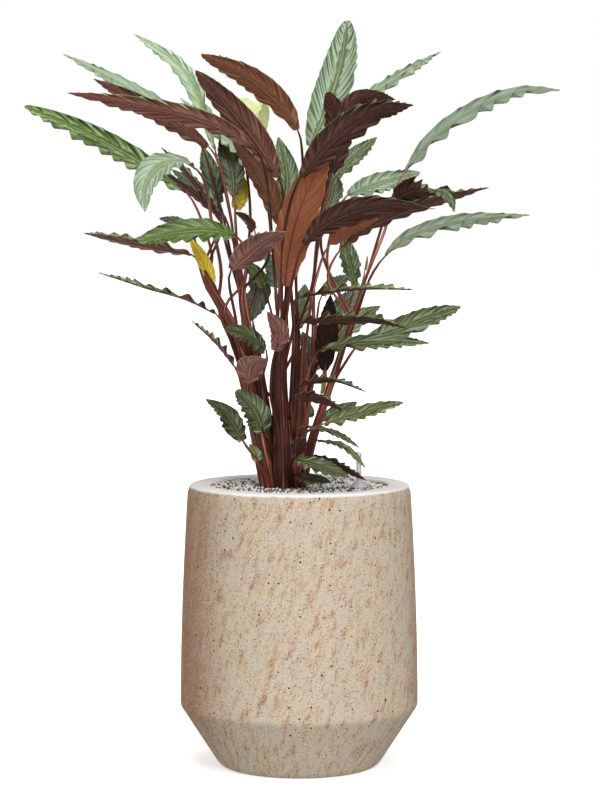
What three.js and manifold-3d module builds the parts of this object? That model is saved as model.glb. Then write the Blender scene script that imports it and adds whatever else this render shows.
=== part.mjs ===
// Potted wavestar calathea: a barrel-shaped stone-look planter filled with soil and gravel,
// a water gauge, one clump of stalks and its waved, lance-shaped leaves.
// Millimetres, +Z up. The origin is the centre of the planter's base and the front faces -Y.
import * as THREE from 'three';
import { mergeVertices } from 'three/addons/utils/BufferGeometryUtils.js';
import Module from 'manifold-3d';

const wasm = await Module();
wasm.setup();

// Driving dimensions of the planter
const POT_HEIGHT = 457;
const POT_WIDEST = 384;
const CREASE_HEIGHT = 98;
const TAPER_FOOT_RADIUS = 128.5;
const BASE_RADIUS = 122;
const RIM_RADIUS = 178;
const MOUTH_RADIUS = 143;
const LIP_DEPTH = 35;
const WALL = 14;
const FOOT_WALL = 24;
const CREASE_WALL = 20;
const RIM_ROUND = 4;
const WALL_BREAK = 260;
const SIDE_STATIONS = [200, 330];
const LATHE_SIDES = 36;
const ROUND_SIDES = 16;

// Fill, clump and seats
const SEAT_GAP = 0.3;
const SIDE_GAP = 0.5;
const SOIL_TOP = 425;
const GRAVEL_TOP = 453;
const GRAVEL_RELIEF = 1.5;
const GRAVEL_RINGS = 5;
const LEVEL_REACH = 34;
const CLUMP = new THREE.Vector2(-25, 0);
const CROWN_RADIUS = 40;
const CROWN_HOLE = CROWN_RADIUS + SIDE_GAP;
const CROWN_BOTTOM = 385;
const CROWN_TOP = 446;

// Water gauge
const GAUGE = new THREE.Vector2(96, -25);
const TUBE_RADIUS = 4.5;
const TUBE_BORE = 2.7;
const TUBE_TOP = 510;
const TUBE_BOTTOM = 60;
const COLLAR_RADIUS = 13.5;
const COLLAR_HEIGHT = 13;
const FLOAT_RADIUS = 2.2;
const FLOAT_ROD = 1;
const FLOAT_HEIGHT = 468;

// Leaves and stalks
const BLADE_THICKNESS = 0.9;
const BLADE_LEAD = 8;
const WIDEST_AT = 0.42;
const BASE_ROUNDNESS = 0.7;
const LONG_TIP = 0.85;
const TAIL_TIP = 1.6;
const FULL_TIP = 0.65;
const BLUNT_TIP = 0.5;
const FOLD = 0.18;
const WAVE_LIFT = 0.24;
const SCALLOP = 0.08;
const WAVE_SPACING = 78;
const WAVES_ADDED = 2.6;
const EDGE_AT_NECK = 2;
const EDGE_AT_TIP = 0.6;
const STALK_FOOT = 2.2;
const FOOT_PER_WIDTH = 0.03;
const STALK_NECK = 1.4;
const NECK_PER_WIDTH = 0.014;
const STALK_SIDES = 4;
const SHEATH_SIDES = 6;
const ASIDE_COST = 1.5;
const ROOT_DROP = 20;
const ROOT_SHARES = [0.02, 0.1, 0.25, 0.4, 0.55, 0.7, 0.85];

const COLOURS = {
  stone: [0.6, 0.5, 0.39],
  soil: [0.09, 0.06, 0.045],
  gravel: [0.62, 0.62, 0.6],
  clear: [0.75, 0.77, 0.78],
  signal: [0.6, 0.05, 0.04],
  stalk: [0.2, 0.065, 0.045],
  silver: [0.3, 0.42, 0.29],
  green: [0.15, 0.25, 0.12],
  dark: [0.06, 0.1, 0.055],
  lime: [0.42, 0.5, 0.14],
  yellow: [0.42, 0.34, 0.04],
  plum: [0.085, 0.038, 0.036],
  russet: [0.13, 0.055, 0.035],
  copper: [0.3, 0.11, 0.06],
};

const materials = {};

function material(name, roughness = 0.6) {
  if (!materials[name]) {
    const color = new THREE.Color().setRGB(...COLOURS[name]);
    materials[name] = new THREE.MeshStandardMaterial({ name, color, roughness, metalness: 0 });
  }
  return materials[name];
}

// One leaf: blade width, where its top face looks, colour of the side that shows, way points of
// its stalk, midrib points from neck to tip, strength of its waves, where the tip's top face
// looks, how quickly the tip closes
function leaf(width, face, tone, stalk, rib, wave = 1, tipFace = null, taper = LONG_TIP) {
  return { width, face, tone, stalk, rib, wave, tipFace: tipFace || face, taper };
}

// Each leaf below is a blade of its own on the clump's stalks
const LEAVES = [
  // Upper left
  leaf(36, [0, -0.9, 0.4], 'green',
    [[-140, 15, 815], [-155, 20, 875]],
    [[-178, 30, 922], [-237, 45, 963], [-336, 70, 1019], [-450, 100, 1068]], 1, null, BLUNT_TIP),
  leaf(60, [-0.2, -0.5, 0.8], 'silver',
    [[-125, -15, 800], [-140, -20, 880], [-150, -20, 940]],
    [[-160, -25, 960], [-185, -50, 975], [-220, -95, 965], [-240, -125, 935], [-240, -135, 895]],
    0.6, [-0.3, -1, 0.3]),
  leaf(34, [0.6, 0.35, 0.7], 'plum', [],
    [[-125, 25, 875], [-175, 45, 945], [-225, 70, 1000]]),
  leaf(37, [-0.1, 0.75, 0.65], 'plum',
    [[-40, -25, 800], [-45, -30, 875], [-50, -40, 935]],
    [[-65, -60, 990], [-110, -80, 1020], [-170, -110, 1042], [-261, -145, 1061], [-356, -180, 1078]],
    0.8),
  leaf(35, [-0.1, 0.75, 0.65], 'plum',
    [[-100, -5, 800], [-110, -10, 890], [-125, -15, 960]],
    [[-140, -20, 995], [-200, -30, 1035], [-260, -40, 1070], [-325, -60, 1105]]),
  leaf(40, [0.35, -0.5, 0.8], 'silver', [[-120, 25, 850], [-135, 35, 930]],
    [[-160, 45, 1005], [-205, 65, 1050], [-285, 95, 1100], [-390, 140, 1155]]),
  leaf(27, [-0.6, -0.6, 0.6], 'silver', [[-110, 35, 880]],
    [[-135, 50, 990], [-152, 70, 1050], [-191, 105, 1127], [-275, 160, 1190]]),
  leaf(36, [0.5, -0.6, 0.6], 'silver', [[-50, 45, 820]],
    [[-55, 60, 920], [-90, 80, 985], [-142, 110, 1032], [-197, 150, 1083]]),
  leaf(52, [0.3, 0.85, 0.45], 'plum', [[-20, -5, 840]],
    [[-30, -5, 945], [-62, -15, 997], [-106, -35, 1053], [-163, -80, 1117]], 0.5, null, FULL_TIP),
  leaf(42, [0.3, 0.75, 0.5], 'russet', [],
    [[-30, 20, 870], [-55, 25, 935], [-110, 30, 1015]], 0.6),
  leaf(46, [0.1, 0.75, 0.65], 'russet',
    [[-5, -10, 810], [5, -20, 915], [5, -30, 985]],
    [[0, -40, 1020], [-24, -60, 1056], [-78, -110, 1102], [-151, -170, 1137]], 0.6, null, FULL_TIP),
  leaf(50, [0, -0.85, 0.5], 'lime', [[-80, 85, 890]],
    [[-90, 115, 995], [-92, 140, 1055], [-72, 165, 1075], [-58, 190, 1020]], 0.6, [0.3, 0.6, 0.7]),
  leaf(38, [0.2, -0.85, 0.4], 'green', [],
    [[-25, 60, 895], [-20, 110, 955], [-35, 170, 1020]]),
  leaf(40, [0, -0.9, 0.4], 'dark', [[-100, 35, 830]],
    [[-105, 45, 915], [-110, 75, 965], [-130, 120, 1020]]),
  leaf(31, [0, -0.9, 0.5], 'green', [[-105, 55, 800]],
    [[-128, 85, 905], [-147, 140, 960], [-162, 200, 1005]]),
  // Left side, middle and low
  leaf(38, [0, 0.5, 0.85], 'plum', [[-135, 10, 775]],
    [[-170, 20, 825], [-260, 60, 840], [-355, 110, 860]], 1.1),
  leaf(46, [0, -0.75, 0.65], 'green', [[-85, -50, 790]],
    [[-95, -75, 855], [-135, -95, 865], [-195, -120, 862], [-250, -145, 849]], 0.9, null, BLUNT_TIP),
  leaf(54, [-0.3, 0.8, 0.5], 'plum', [[-100, -55, 720]],
    [[-110, -85, 800], [-80, -110, 825], [-50, -145, 850], [-20, -180, 865]], 0.7),
  leaf(38, [0.2, 0.05, 1], 'green', [[-100, -20, 660]],
    [[-130, -20, 730], [-180, -40, 755], [-245, -65, 775], [-315, -100, 800]], 1.1),
  leaf(32, [0.7, 0.25, 0.7], 'green', [[-85, -40, 595]],
    [[-100, -55, 645], [-130, -75, 685], [-170, -100, 725]], 1.1),
  leaf(44, [0, -0.8, 0.5], 'dark', [[-70, 55, 770]],
    [[-84, 100, 805], [-69, 140, 765], [-80, 180, 712]]),
  leaf(36, [0, -0.75, 0.65], 'dark', [[-60, -50, 620]],
    [[-50, -60, 672], [-80, -82, 698], [-116, -105, 712]], 0.9, null, BLUNT_TIP),
  leaf(30, [0, 0.9, 0.3], 'plum', [[-45, -55, 600]],
    [[-40, -75, 670], [-30, -95, 705], [-50, -120, 740]], 0.7),
  leaf(44, [0, 0.6, 0.8], 'plum', [[-70, -50, 560]],
    [[-80, -80, 620], [-75, -125, 655], [-55, -175, 670]], 0.5, null, BLUNT_TIP),
  leaf(42, [-0.1, -0.85, 0.5], 'dark', [],
    [[-55, -60, 540], [-70, -85, 580], [-100, -110, 615]], 0.7, null, BLUNT_TIP),
  leaf(34, [-0.4, -0.6, 0.6], 'dark', [],
    [[-87, -40, 525], [-113, -60, 569], [-148, -85, 600]]),
  // Centre and upper right
  leaf(62, [0.25, 0.9, 0.2], 'copper', [],
    [[-22, -45, 770], [-17, -50, 825], [0, -60, 895], [25, -75, 955], [50, -90, 1010]], 0.3),
  leaf(62, [-0.25, -0.9, 0.2], 'silver', [[0, 40, 860]],
    [[15, 60, 995], [50, 85, 1075], [70, 110, 1145], [80, 140, 1210]], 0.3, null, BLUNT_TIP),
  leaf(53, [-0.1, 0.8, 0.6], 'plum', [[-30, -70, 810], [-15, -95, 905]],
    [[0, -105, 945], [51, -130, 1002], [112, -155, 1046], [175, -195, 1059]], 0.7),
  leaf(42, [0, 0.9, 0.1], 'plum', [[20, -10, 775], [35, -20, 895]],
    [[50, -20, 950], [60, -25, 995], [60, -30, 1040], [45, -45, 1085]], 0.6, null, BLUNT_TIP),
  leaf(36, [-0.4, -0.45, 0.8], 'silver', [[30, 35, 860]],
    [[75, 60, 1045], [131, 95, 1092], [181, 125, 1127], [235, 160, 1160]]),
  leaf(32, [-0.3, -0.7, 0.6], 'silver',
    [[110, 20, 795], [145, 30, 905]],
    [[167, 35, 953], [214, 50, 1011], [293, 80, 1066], [366, 105, 1092], [430, 130, 1095]],
    1, null, FULL_TIP),
  leaf(42, [-0.1, -0.8, 0.6], 'silver', [[45, 30, 810]],
    [[75, 45, 920], [130, 85, 940], [200, 130, 960]], 1, null, FULL_TIP),
  leaf(33, [-0.3, -0.8, 0.4], 'green', [[35, 5, 840]],
    [[55, 15, 945], [85, 40, 980], [127, 75, 1017]]),
  leaf(36, [0, -0.85, 0.5], 'green', [[25, 50, 790]],
    [[40, 70, 890], [55, 130, 930], [50, 190, 970]]),
  leaf(44, [0, 0.9, 0.2], 'plum', [[105, -10, 785], [140, -15, 875]],
    [[145, -20, 905], [170, -60, 925], [205, -110, 930], [230, -145, 920], [240, -165, 895]],
    1, [0.3, -0.9, 0.2]),
  leaf(48, [0, 0.8, 0.55], 'plum', [[-10, -75, 790]],
    [[5, -95, 840], [35, -120, 870], [90, -155, 896], [150, -190, 905], [208, -220, 900]],
    0.8, null, TAIL_TIP),
  leaf(34, [-0.1, 0.6, 0.8], 'plum', [[45, -35, 790]],
    [[65, -45, 835], [110, -50, 870], [180, -55, 900], [300, -65, 934]], 0.8),
  leaf(32, [-0.1, -0.7, 0.7], 'silver', [[85, 10, 705], [115, 15, 790]],
    [[135, 20, 820], [172, 35, 851], [246, 60, 876], [380, 110, 890]]),
  leaf(30, [0, -0.85, 0.5], 'green', [[60, 40, 690]],
    [[90, 70, 770], [85, 120, 810], [70, 180, 865]]),
  // Right side, middle and low
  leaf(38, [0, 0.15, 1], 'plum', [[-10, -60, 710]],
    [[-5, -85, 760], [55, -110, 770], [110, -135, 775], [180, -165, 775]], 1.1),
  leaf(38, [0, 0.45, 0.9], 'plum', [[-10, -65, 670]],
    [[-5, -90, 720], [65, -120, 725], [125, -150, 725], [170, -175, 715]], 1.1),
  leaf(44, [0.1, -0.65, 0.75], 'green', [[70, 10, 645]],
    [[100, 20, 685], [165, 35, 705], [215, 55, 725], [265, 80, 740]], 1, null, FULL_TIP),
  leaf(40, [0, -0.5, 0.85], 'green', [[10, -40, 625]],
    [[30, -55, 675], [75, -75, 685], [145, -95, 690], [205, -120, 690]]),
  leaf(36, [0, 0.9, 0.2], 'plum', [],
    [[40, -25, 635], [45, -35, 700], [50, -55, 765]], 0.5),
  leaf(38, [0, -0.75, 0.6], 'silver', [],
    [[55, 80, 720], [80, 140, 745], [105, 210, 765]]),
  leaf(36, [0.1, -0.65, 0.7], 'green', [],
    [[55, 50, 675], [90, 85, 715], [135, 125, 740]]),
  leaf(32, [0, 0.35, 0.95], 'plum', [[-10, -60, 580]],
    [[-5, -85, 620], [50, -110, 630], [105, -140, 615]], 1.1),
  leaf(36, [0, 0.6, 0.8], 'plum', [[-10, -60, 560]],
    [[-10, -80, 600], [30, -105, 600], [70, -130, 585]], 1.1),
  leaf(40, [0, -0.5, 0.85], 'dark', [],
    [[35, -30, 555], [90, -45, 571], [166, -70, 593]], 1, null, FULL_TIP),
  leaf(36, [0.2, 0.55, 0.8], 'plum', [],
    [[17, -55, 505], [60, -85, 492], [106, -115, 474]]),
  leaf(36, [0.2, -0.65, 0.75], 'dark', [],
    [[-10, -75, 505], [30, -105, 495], [80, -135, 480]]),
  leaf(36, [0, -0.8, 0.6], 'dark', [],
    [[15, 60, 620], [20, 120, 660], [5, 180, 695]]),
];

// The small leaves deep in the clump grow as one body with the stalks
const SMALL_LEAVES = [
  leaf(30, [0.5, 0.5, 0.7], 'plum', [],
    [[-125, 5, 885], [-165, -20, 920], [-210, -50, 955]]),
  leaf(32, [0.3, -0.7, 0.6], 'green', [[-95, 55, 800]],
    [[-125, 60, 895], [-165, 85, 930], [-210, 110, 965]]),
  leaf(26, [0.2, -0.8, 0.3], 'yellow', [],
    [[-105, 70, 893], [-96, 85, 924], [-91, 100, 955]]),
  leaf(22, [0, -0.6, 0.8], 'dark', [],
    [[-180, 60, 870], [-205, 75, 880], [-230, 95, 885]]),
  leaf(24, [0, 0.7, 0.7], 'plum', [], [[-70, 35, 860], [-85, 45, 880], [-105, 60, 895]]),
  leaf(24, [0.5, -0.8, 0.1], 'yellow', [],
    [[-136, -10, 775], [-152, -15, 812], [-173, -20, 850]], 0.2, null, BLUNT_TIP),
  leaf(28, [0.3, -0.7, 0.6], 'lime', [], [[-55, 55, 765], [-70, 50, 795], [-90, 45, 815]]),
  leaf(34, [0.3, -0.8, 0.5], 'silver', [],
    [[-40, 70, 765], [-40, 80, 795], [-55, 90, 830]]),
  leaf(18, [0, -1, 0.2], 'green', [], [[-65, -35, 490], [-70, -35, 510], [-80, -40, 525]]),
  leaf(30, [-0.1, 0.8, 0.5], 'plum', [[30, -40, 960]],
    [[60, -60, 1035], [90, -75, 1070], [120, -95, 1075], [150, -120, 1070]]),
  leaf(32, [0, 0.6, 0.7], 'copper', [[25, -40, 780]],
    [[45, -60, 840], [75, -80, 865], [125, -105, 885]]),
  leaf(10, [1, -0.4, 0.2], 'lime', [],
    [[105, 10, 795], [110, 10, 825]], 0),
  leaf(30, [0, -0.7, 0.7], 'green', [],
    [[35, 90, 755], [60, 135, 775], [80, 190, 790]]),
  leaf(30, [0, -0.75, 0.6], 'green', [],
    [[0, 70, 700], [5, 120, 740], [10, 180, 775]]),
  leaf(14, [0.8, -0.6, 0], 'yellow', [], [[35, 15, 595], [40, 10, 630], [40, 10, 665]], 0.2),
  leaf(30, [0, -0.6, 0.7], 'green', [], [[35, 10, 555], [65, 35, 570], [95, 65, 585]]),
  leaf(26, [0.3, -0.25, 0.9], 'green', [], [[5, -60, 555], [55, -85, 545], [95, -110, 525]]),
  leaf(22, [0.3, -0.3, 0.9], 'lime', [], [[25, -45, 531], [70, -65, 522], [106, -85, 490]]),
  leaf(32, [0.1, -0.6, 0.8], 'dark', [], [[-5, -45, 475], [20, -80, 470], [50, -115, 470]]),
  leaf(26, [0, 0.9, 0.3], 'plum', [], [[-5, -45, 505], [0, -70, 525], [10, -90, 540]]),
  leaf(20, [0, -0.9, 0.4], 'green', [], [[15, 35, 555], [15, 45, 570], [15, 55, 585]]),
];

// Wide sheaths rise from the crown and the stalks branch off them
function sheath(wide, slim, path) {
  return { wide, slim, path };
}

const SHEATHS = [
  sheath(16, 5, [[-42, -12, 435], [-59, -17, 510], [-78, -15, 605], [-100, -12, 695], [-145, -14, 780],
    [-166, -14, 828]]),
  sheath(13, 5, [[-42, 13, 435], [-60, 20, 550], [-85, 25, 710], [-97, 28, 800]]),
  sheath(14, 4, [[-36, 0, 435], [-50, -4, 550], [-76, -8, 730]]),
  sheath(17.5, 8, [[-24, -21, 435], [-27, -31, 530], [-31, -38, 630], [-21, -44, 766]]),
  sheath(12, 5, [[-25, 20, 435], [-30, 28, 590], [-34, 42, 730]]),
  sheath(15, 6, [[-5, -14, 435], [0, -22, 550], [8, -26, 700]]),
  sheath(8, 3, [[-1, 2, 435], [22, 2, 530], [67, 8, 665], [95, 10, 760]]),
  sheath(10, 5, [[-8, 17, 435], [6, 27, 550], [28, 36, 670]]),
  sheath(13, 5, [[-14, 4, 435], [-9, 2, 570], [-4, 2, 740]]),
];

// Seeded random numbers from 0 to 1
function makeRandom(seed) {
  let state = seed;
  return () => {
    state = (state * 1664525 + 1013904223) % 4294967296;
    return state / 4294967296;
  };
}

function solidFrom(geometry) {
  const bare = geometry.clone();
  bare.deleteAttribute('normal');
  bare.deleteAttribute('uv');
  const merged = mergeVertices(bare, 1e-4);
  return new wasm.Manifold(new wasm.Mesh({
    numProp: 3,
    vertProperties: new Float32Array(merged.attributes.position.array),
    triVerts: new Uint32Array(merged.index.array),
  }));
}

function geometryFrom(solid) {
  const mesh = solid.getMesh();
  const geometry = new THREE.BufferGeometry();
  geometry.setAttribute('position', new THREE.BufferAttribute(mesh.vertProperties, 3));
  geometry.setIndex(new THREE.BufferAttribute(mesh.triVerts, 1));
  geometry.computeVertexNormals();
  return geometry;
}

// A body of revolution about Z from [radius, height] pairs
function lathe(profile, sides = LATHE_SIDES) {
  const points = profile.map(([radius, height]) => new THREE.Vector2(radius, height));
  const geometry = new THREE.LatheGeometry(points, sides);
  geometry.rotateX(Math.PI / 2);
  return geometry;
}

function plug(centre, radius, bottom, top, sides = LATHE_SIDES) {
  const geometry = lathe([[0, bottom], [radius, bottom], [radius, top], [0, top]], sides);
  geometry.translate(centre.x, centre.y, 0);
  return solidFrom(geometry);
}

function taperRadius(height) {
  const slope = (POT_WIDEST / 2 - TAPER_FOOT_RADIUS) / CREASE_HEIGHT;
  return TAPER_FOOT_RADIUS + slope * height;
}

// The bulge of the planter's side from its crease up to its rim
function sideRadius(height) {
  const share = (height - CREASE_HEIGHT) / (POT_HEIGHT - CREASE_HEIGHT);
  return POT_WIDEST / 2 + 0.5 - (POT_WIDEST / 2 - RIM_RADIUS - 1) * Math.pow(share, 1.8);
}

// Inner wall from the floor's centre up to the mouth, drawn in by a gap for what fills it
function innerProfile(gap) {
  const shoulder = POT_HEIGHT - LIP_DEPTH - WALL;
  return [
    [0, WALL + gap],
    [taperRadius(WALL) - FOOT_WALL - gap, WALL + gap],
    [taperRadius(CREASE_HEIGHT) - CREASE_WALL - gap, CREASE_HEIGHT],
    [sideRadius(WALL_BREAK) - WALL - gap, WALL_BREAK],
    [sideRadius(shoulder) - WALL - gap, shoulder],
    [MOUTH_RADIUS + 5 - gap, POT_HEIGHT - LIP_DEPTH - 6 - gap],
    [MOUTH_RADIUS - gap, POT_HEIGHT - LIP_DEPTH],
  ];
}

function potGeometry() {
  const outer = [
    [0, 0],
    [BASE_RADIUS, 0],
    [BASE_RADIUS + 6, 1.5],
    [BASE_RADIUS + 11, 7],
    [taperRadius(CREASE_HEIGHT - 12), CREASE_HEIGHT - 12],
    [POT_WIDEST / 2 - 2.5, CREASE_HEIGHT - 4],
    [POT_WIDEST / 2, CREASE_HEIGHT + 6],
  ];
  for (const height of SIDE_STATIONS) outer.push([sideRadius(height), height]);
  outer.push([RIM_RADIUS, POT_HEIGHT - RIM_ROUND], [RIM_RADIUS - RIM_ROUND, POT_HEIGHT]);
  outer.push([MOUTH_RADIUS + RIM_ROUND, POT_HEIGHT], [MOUTH_RADIUS, POT_HEIGHT - RIM_ROUND]);
  return lathe([...outer, ...innerProfile(0).reverse()]);
}

function soilGeometry() {
  const profile = [...innerProfile(SIDE_GAP), [MOUTH_RADIUS - SIDE_GAP, SOIL_TOP - SEAT_GAP]];
  profile.push([0, SOIL_TOP - SEAT_GAP]);
  const crownHole = plug(CLUMP, CROWN_HOLE, CROWN_BOTTOM - SEAT_GAP, SOIL_TOP + 10, ROUND_SIDES);
  const gaugeHole = plug(GAUGE, TUBE_RADIUS + SIDE_GAP, TUBE_BOTTOM - SEAT_GAP, SOIL_TOP + 10, 12);
  return geometryFrom(solidFrom(lathe(profile)).subtract(crownHole).subtract(gaugeHole));
}

// A low relief of pebbles on a disc, flat under the gauge's collar
function gravelGeometry() {
  const random = makeRandom(7);
  const outerRadius = MOUTH_RADIUS - SIDE_GAP;
  const positions = [0, 0, SOIL_TOP, 0, 0, GRAVEL_TOP];
  const faces = [];
  for (let ring = 1; ring <= GRAVEL_RINGS; ring++) {
    for (let step = 0; step < LATHE_SIDES; step++) {
      const angle = (step / LATHE_SIDES) * Math.PI * 2;
      const radius = (outerRadius * ring) / GRAVEL_RINGS;
      const x = radius * Math.cos(angle);
      const y = radius * Math.sin(angle);
      const nearGauge = Math.hypot(x - GAUGE.x, y - GAUGE.y) < LEVEL_REACH;
      const bump = nearGauge ? 0 : (random() * 2 - 1) * GRAVEL_RELIEF;
      positions.push(x, y, GRAVEL_TOP + bump);
    }
  }
  const bottom = positions.length / 3;
  for (let step = 0; step < LATHE_SIDES; step++) {
    const angle = (step / LATHE_SIDES) * Math.PI * 2;
    positions.push(outerRadius * Math.cos(angle), outerRadius * Math.sin(angle), SOIL_TOP);
  }
  const top = (ring, step) => 2 + (ring - 1) * LATHE_SIDES + (step % LATHE_SIDES);
  for (let step = 0; step < LATHE_SIDES; step++) {
    const next = (step + 1) % LATHE_SIDES;
    faces.push(1, top(1, step), top(1, next), 0, bottom + next, bottom + step);
    faces.push(top(GRAVEL_RINGS, step), bottom + step, bottom + next);
    faces.push(top(GRAVEL_RINGS, step), bottom + next, top(GRAVEL_RINGS, next));
    for (let ring = 1; ring < GRAVEL_RINGS; ring++) {
      faces.push(top(ring, step), top(ring + 1, step), top(ring + 1, next));
      faces.push(top(ring, step), top(ring + 1, next), top(ring, next));
    }
  }
  const geometry = new THREE.BufferGeometry();
  geometry.setAttribute('position', new THREE.Float32BufferAttribute(positions, 3));
  geometry.setIndex(faces);
  const crownHole = plug(CLUMP, CROWN_HOLE, SOIL_TOP - 10, POT_HEIGHT, ROUND_SIDES);
  const gaugeHole = plug(GAUGE, TUBE_RADIUS + SIDE_GAP, SOIL_TOP - 10, POT_HEIGHT, 12);
  return geometryFrom(solidFrom(geometry).subtract(crownHole).subtract(gaugeHole));
}

function gaugeCollarGeometry() {
  const foot = GRAVEL_TOP + SEAT_GAP;
  const bore = TUBE_RADIUS + SEAT_GAP;
  return lathe([
    [bore, foot],
    [COLLAR_RADIUS, foot],
    [COLLAR_RADIUS - 0.5, foot + 2],
    [COLLAR_RADIUS - 3, foot + 0.55 * COLLAR_HEIGHT],
    [COLLAR_RADIUS - 6.5, foot + 0.88 * COLLAR_HEIGHT],
    [bore, foot + COLLAR_HEIGHT],
    [bore, foot],
  ], ROUND_SIDES);
}

function gaugeTubeGeometry() {
  return lathe([
    [TUBE_BORE, TUBE_BOTTOM],
    [TUBE_RADIUS, TUBE_BOTTOM],
    [TUBE_RADIUS, TUBE_TOP - 1],
    [TUBE_RADIUS - 1, TUBE_TOP],
    [0, TUBE_TOP],
    [0, TUBE_TOP - 3],
    [TUBE_BORE, TUBE_TOP - 3],
    [TUBE_BORE, TUBE_BOTTOM],
  ], 12);
}

function gaugeFloatGeometry() {
  const profile = [[0, TUBE_BOTTOM], [FLOAT_ROD, TUBE_BOTTOM]];
  for (let step = 1; step < 5; step++) {
    const angle = (step / 5) * Math.PI;
    const radius = FLOAT_RADIUS * Math.sin(angle);
    profile.push([Math.max(radius, FLOAT_ROD), FLOAT_HEIGHT - FLOAT_RADIUS * Math.cos(angle)]);
  }
  profile.push([0, FLOAT_HEIGHT + FLOAT_RADIUS]);
  return lathe(profile, 10);
}

function vectors(list) {
  return list.map((point) => new THREE.Vector3(...point));
}

// The blade's outline from 0 at the neck to 0 at the tip, 1 at its widest
function outline(along, taper) {
  if (along < WIDEST_AT) {
    return Math.pow(Math.sin((Math.PI / 2) * (along / WIDEST_AT)), BASE_ROUNDNESS);
  }
  const closing = Math.cos((Math.PI / 2) * ((along - WIDEST_AT) / (1 - WIDEST_AT)));
  return Math.pow(Math.max(closing, 0), taper);
}

// Directions out of the top face and across the blade at one point of the midrib
function bladeFrame(entry, tangent, along) {
  const face = new THREE.Vector3(...entry.face).lerp(new THREE.Vector3(...entry.tipFace), along);
  const up = face.addScaledVector(tangent, -face.dot(tangent)).normalize();
  return { up, side: new THREE.Vector3().crossVectors(tangent, up) };
}

// A blade with both faces split alike: three columns, margins waved up and down in turn
function bladeGeometry(entry, start = BLADE_LEAD + SEAT_GAP) {
  const curve = smoothCurve(vectors(entry.rib));
  const length = curve.getLength();
  const stations = 2 * Math.round(WAVES_ADDED + length / WAVE_SPACING);
  const positions = [];
  for (let station = 0; station <= stations; station++) {
    const along = (start + (length - start) * (station / stations)) / length;
    const centre = curve.getPointAt(along);
    const { up, side } = bladeFrame(entry, curve.getTangentAt(along), along);
    const swell = (entry.width / 2) * outline(along, entry.taper);
    const turn = station % 2 === 0 ? 1 : -1;
    const wave = entry.wave * WAVE_LIFT * swell * turn;
    const narrowest = EDGE_AT_NECK + (EDGE_AT_TIP - EDGE_AT_NECK) * along;
    for (const faceSign of [1, -1]) {
      for (const column of [-1, 0, 1]) {
        const half = Math.max(swell * (1 + SCALLOP * entry.wave * turn * column), narrowest);
        const lift = Math.abs(column) * FOLD * half + column * wave + (faceSign * BLADE_THICKNESS) / 2;
        const point = centre.clone().addScaledVector(side, column * half).addScaledVector(up, lift);
        positions.push(point.x, point.y, point.z);
      }
    }
  }
  const at = (station, face, column) => station * 6 + face * 3 + column;
  const faces = [];
  for (let station = 0; station < stations; station++) {
    const next = station + 1;
    for (const column of [0, 1]) {
      faces.push(at(station, 0, column), at(station, 0, column + 1), at(next, 0, column + 1));
      faces.push(at(station, 0, column), at(next, 0, column + 1), at(next, 0, column));
      faces.push(at(station, 1, column), at(next, 1, column + 1), at(station, 1, column + 1));
      faces.push(at(station, 1, column), at(next, 1, column), at(next, 1, column + 1));
    }
    faces.push(at(station, 0, 0), at(next, 0, 0), at(next, 1, 0));
    faces.push(at(station, 0, 0), at(next, 1, 0), at(station, 1, 0));
    faces.push(at(station, 0, 2), at(next, 1, 2), at(next, 0, 2));
    faces.push(at(station, 0, 2), at(station, 1, 2), at(next, 1, 2));
  }
  for (const column of [0, 1]) {
    faces.push(at(0, 0, column), at(0, 1, column), at(0, 1, column + 1));
    faces.push(at(0, 0, column), at(0, 1, column + 1), at(0, 0, column + 1));
    faces.push(at(stations, 0, column), at(stations, 1, column + 1), at(stations, 1, column));
    faces.push(at(stations, 0, column), at(stations, 0, column + 1), at(stations, 1, column + 1));
  }
  const geometry = new THREE.BufferGeometry();
  geometry.setAttribute('position', new THREE.Float32BufferAttribute(positions, 3));
  geometry.setIndex(faces);
  geometry.computeVertexNormals();
  return geometry;
}

function smoothCurve(points) {
  return new THREE.CatmullRomCurve3(points, false, 'centripetal');
}

// A stalk leaves the sheath that stands best below it, well inside the sheath
function stalkRoot(target) {
  let best = null;
  let bestCost = Infinity;
  for (const { path } of SHEATHS) {
    const curve = smoothCurve(vectors(path));
    for (const share of ROOT_SHARES) {
      const point = curve.getPoint(share);
      const aside = Math.hypot(point.x - target.x, point.y - target.y);
      const cost = point.distanceTo(target) + ASIDE_COST * aside;
      if (point.z < target.z - ROOT_DROP && cost < bestCost) {
        best = point;
        bestCost = cost;
      }
    }
  }
  return best;
}

function stalkPoints(entry) {
  const rib = vectors(entry.rib);
  const way = vectors(entry.stalk);
  const lead = rib[1].clone().sub(rib[0]).setLength(BLADE_LEAD);
  const root = stalkRoot(way.length > 0 ? way[0] : rib[0]);
  return [root, ...way, rib[0], rib[0].clone().add(lead)];
}

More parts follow.
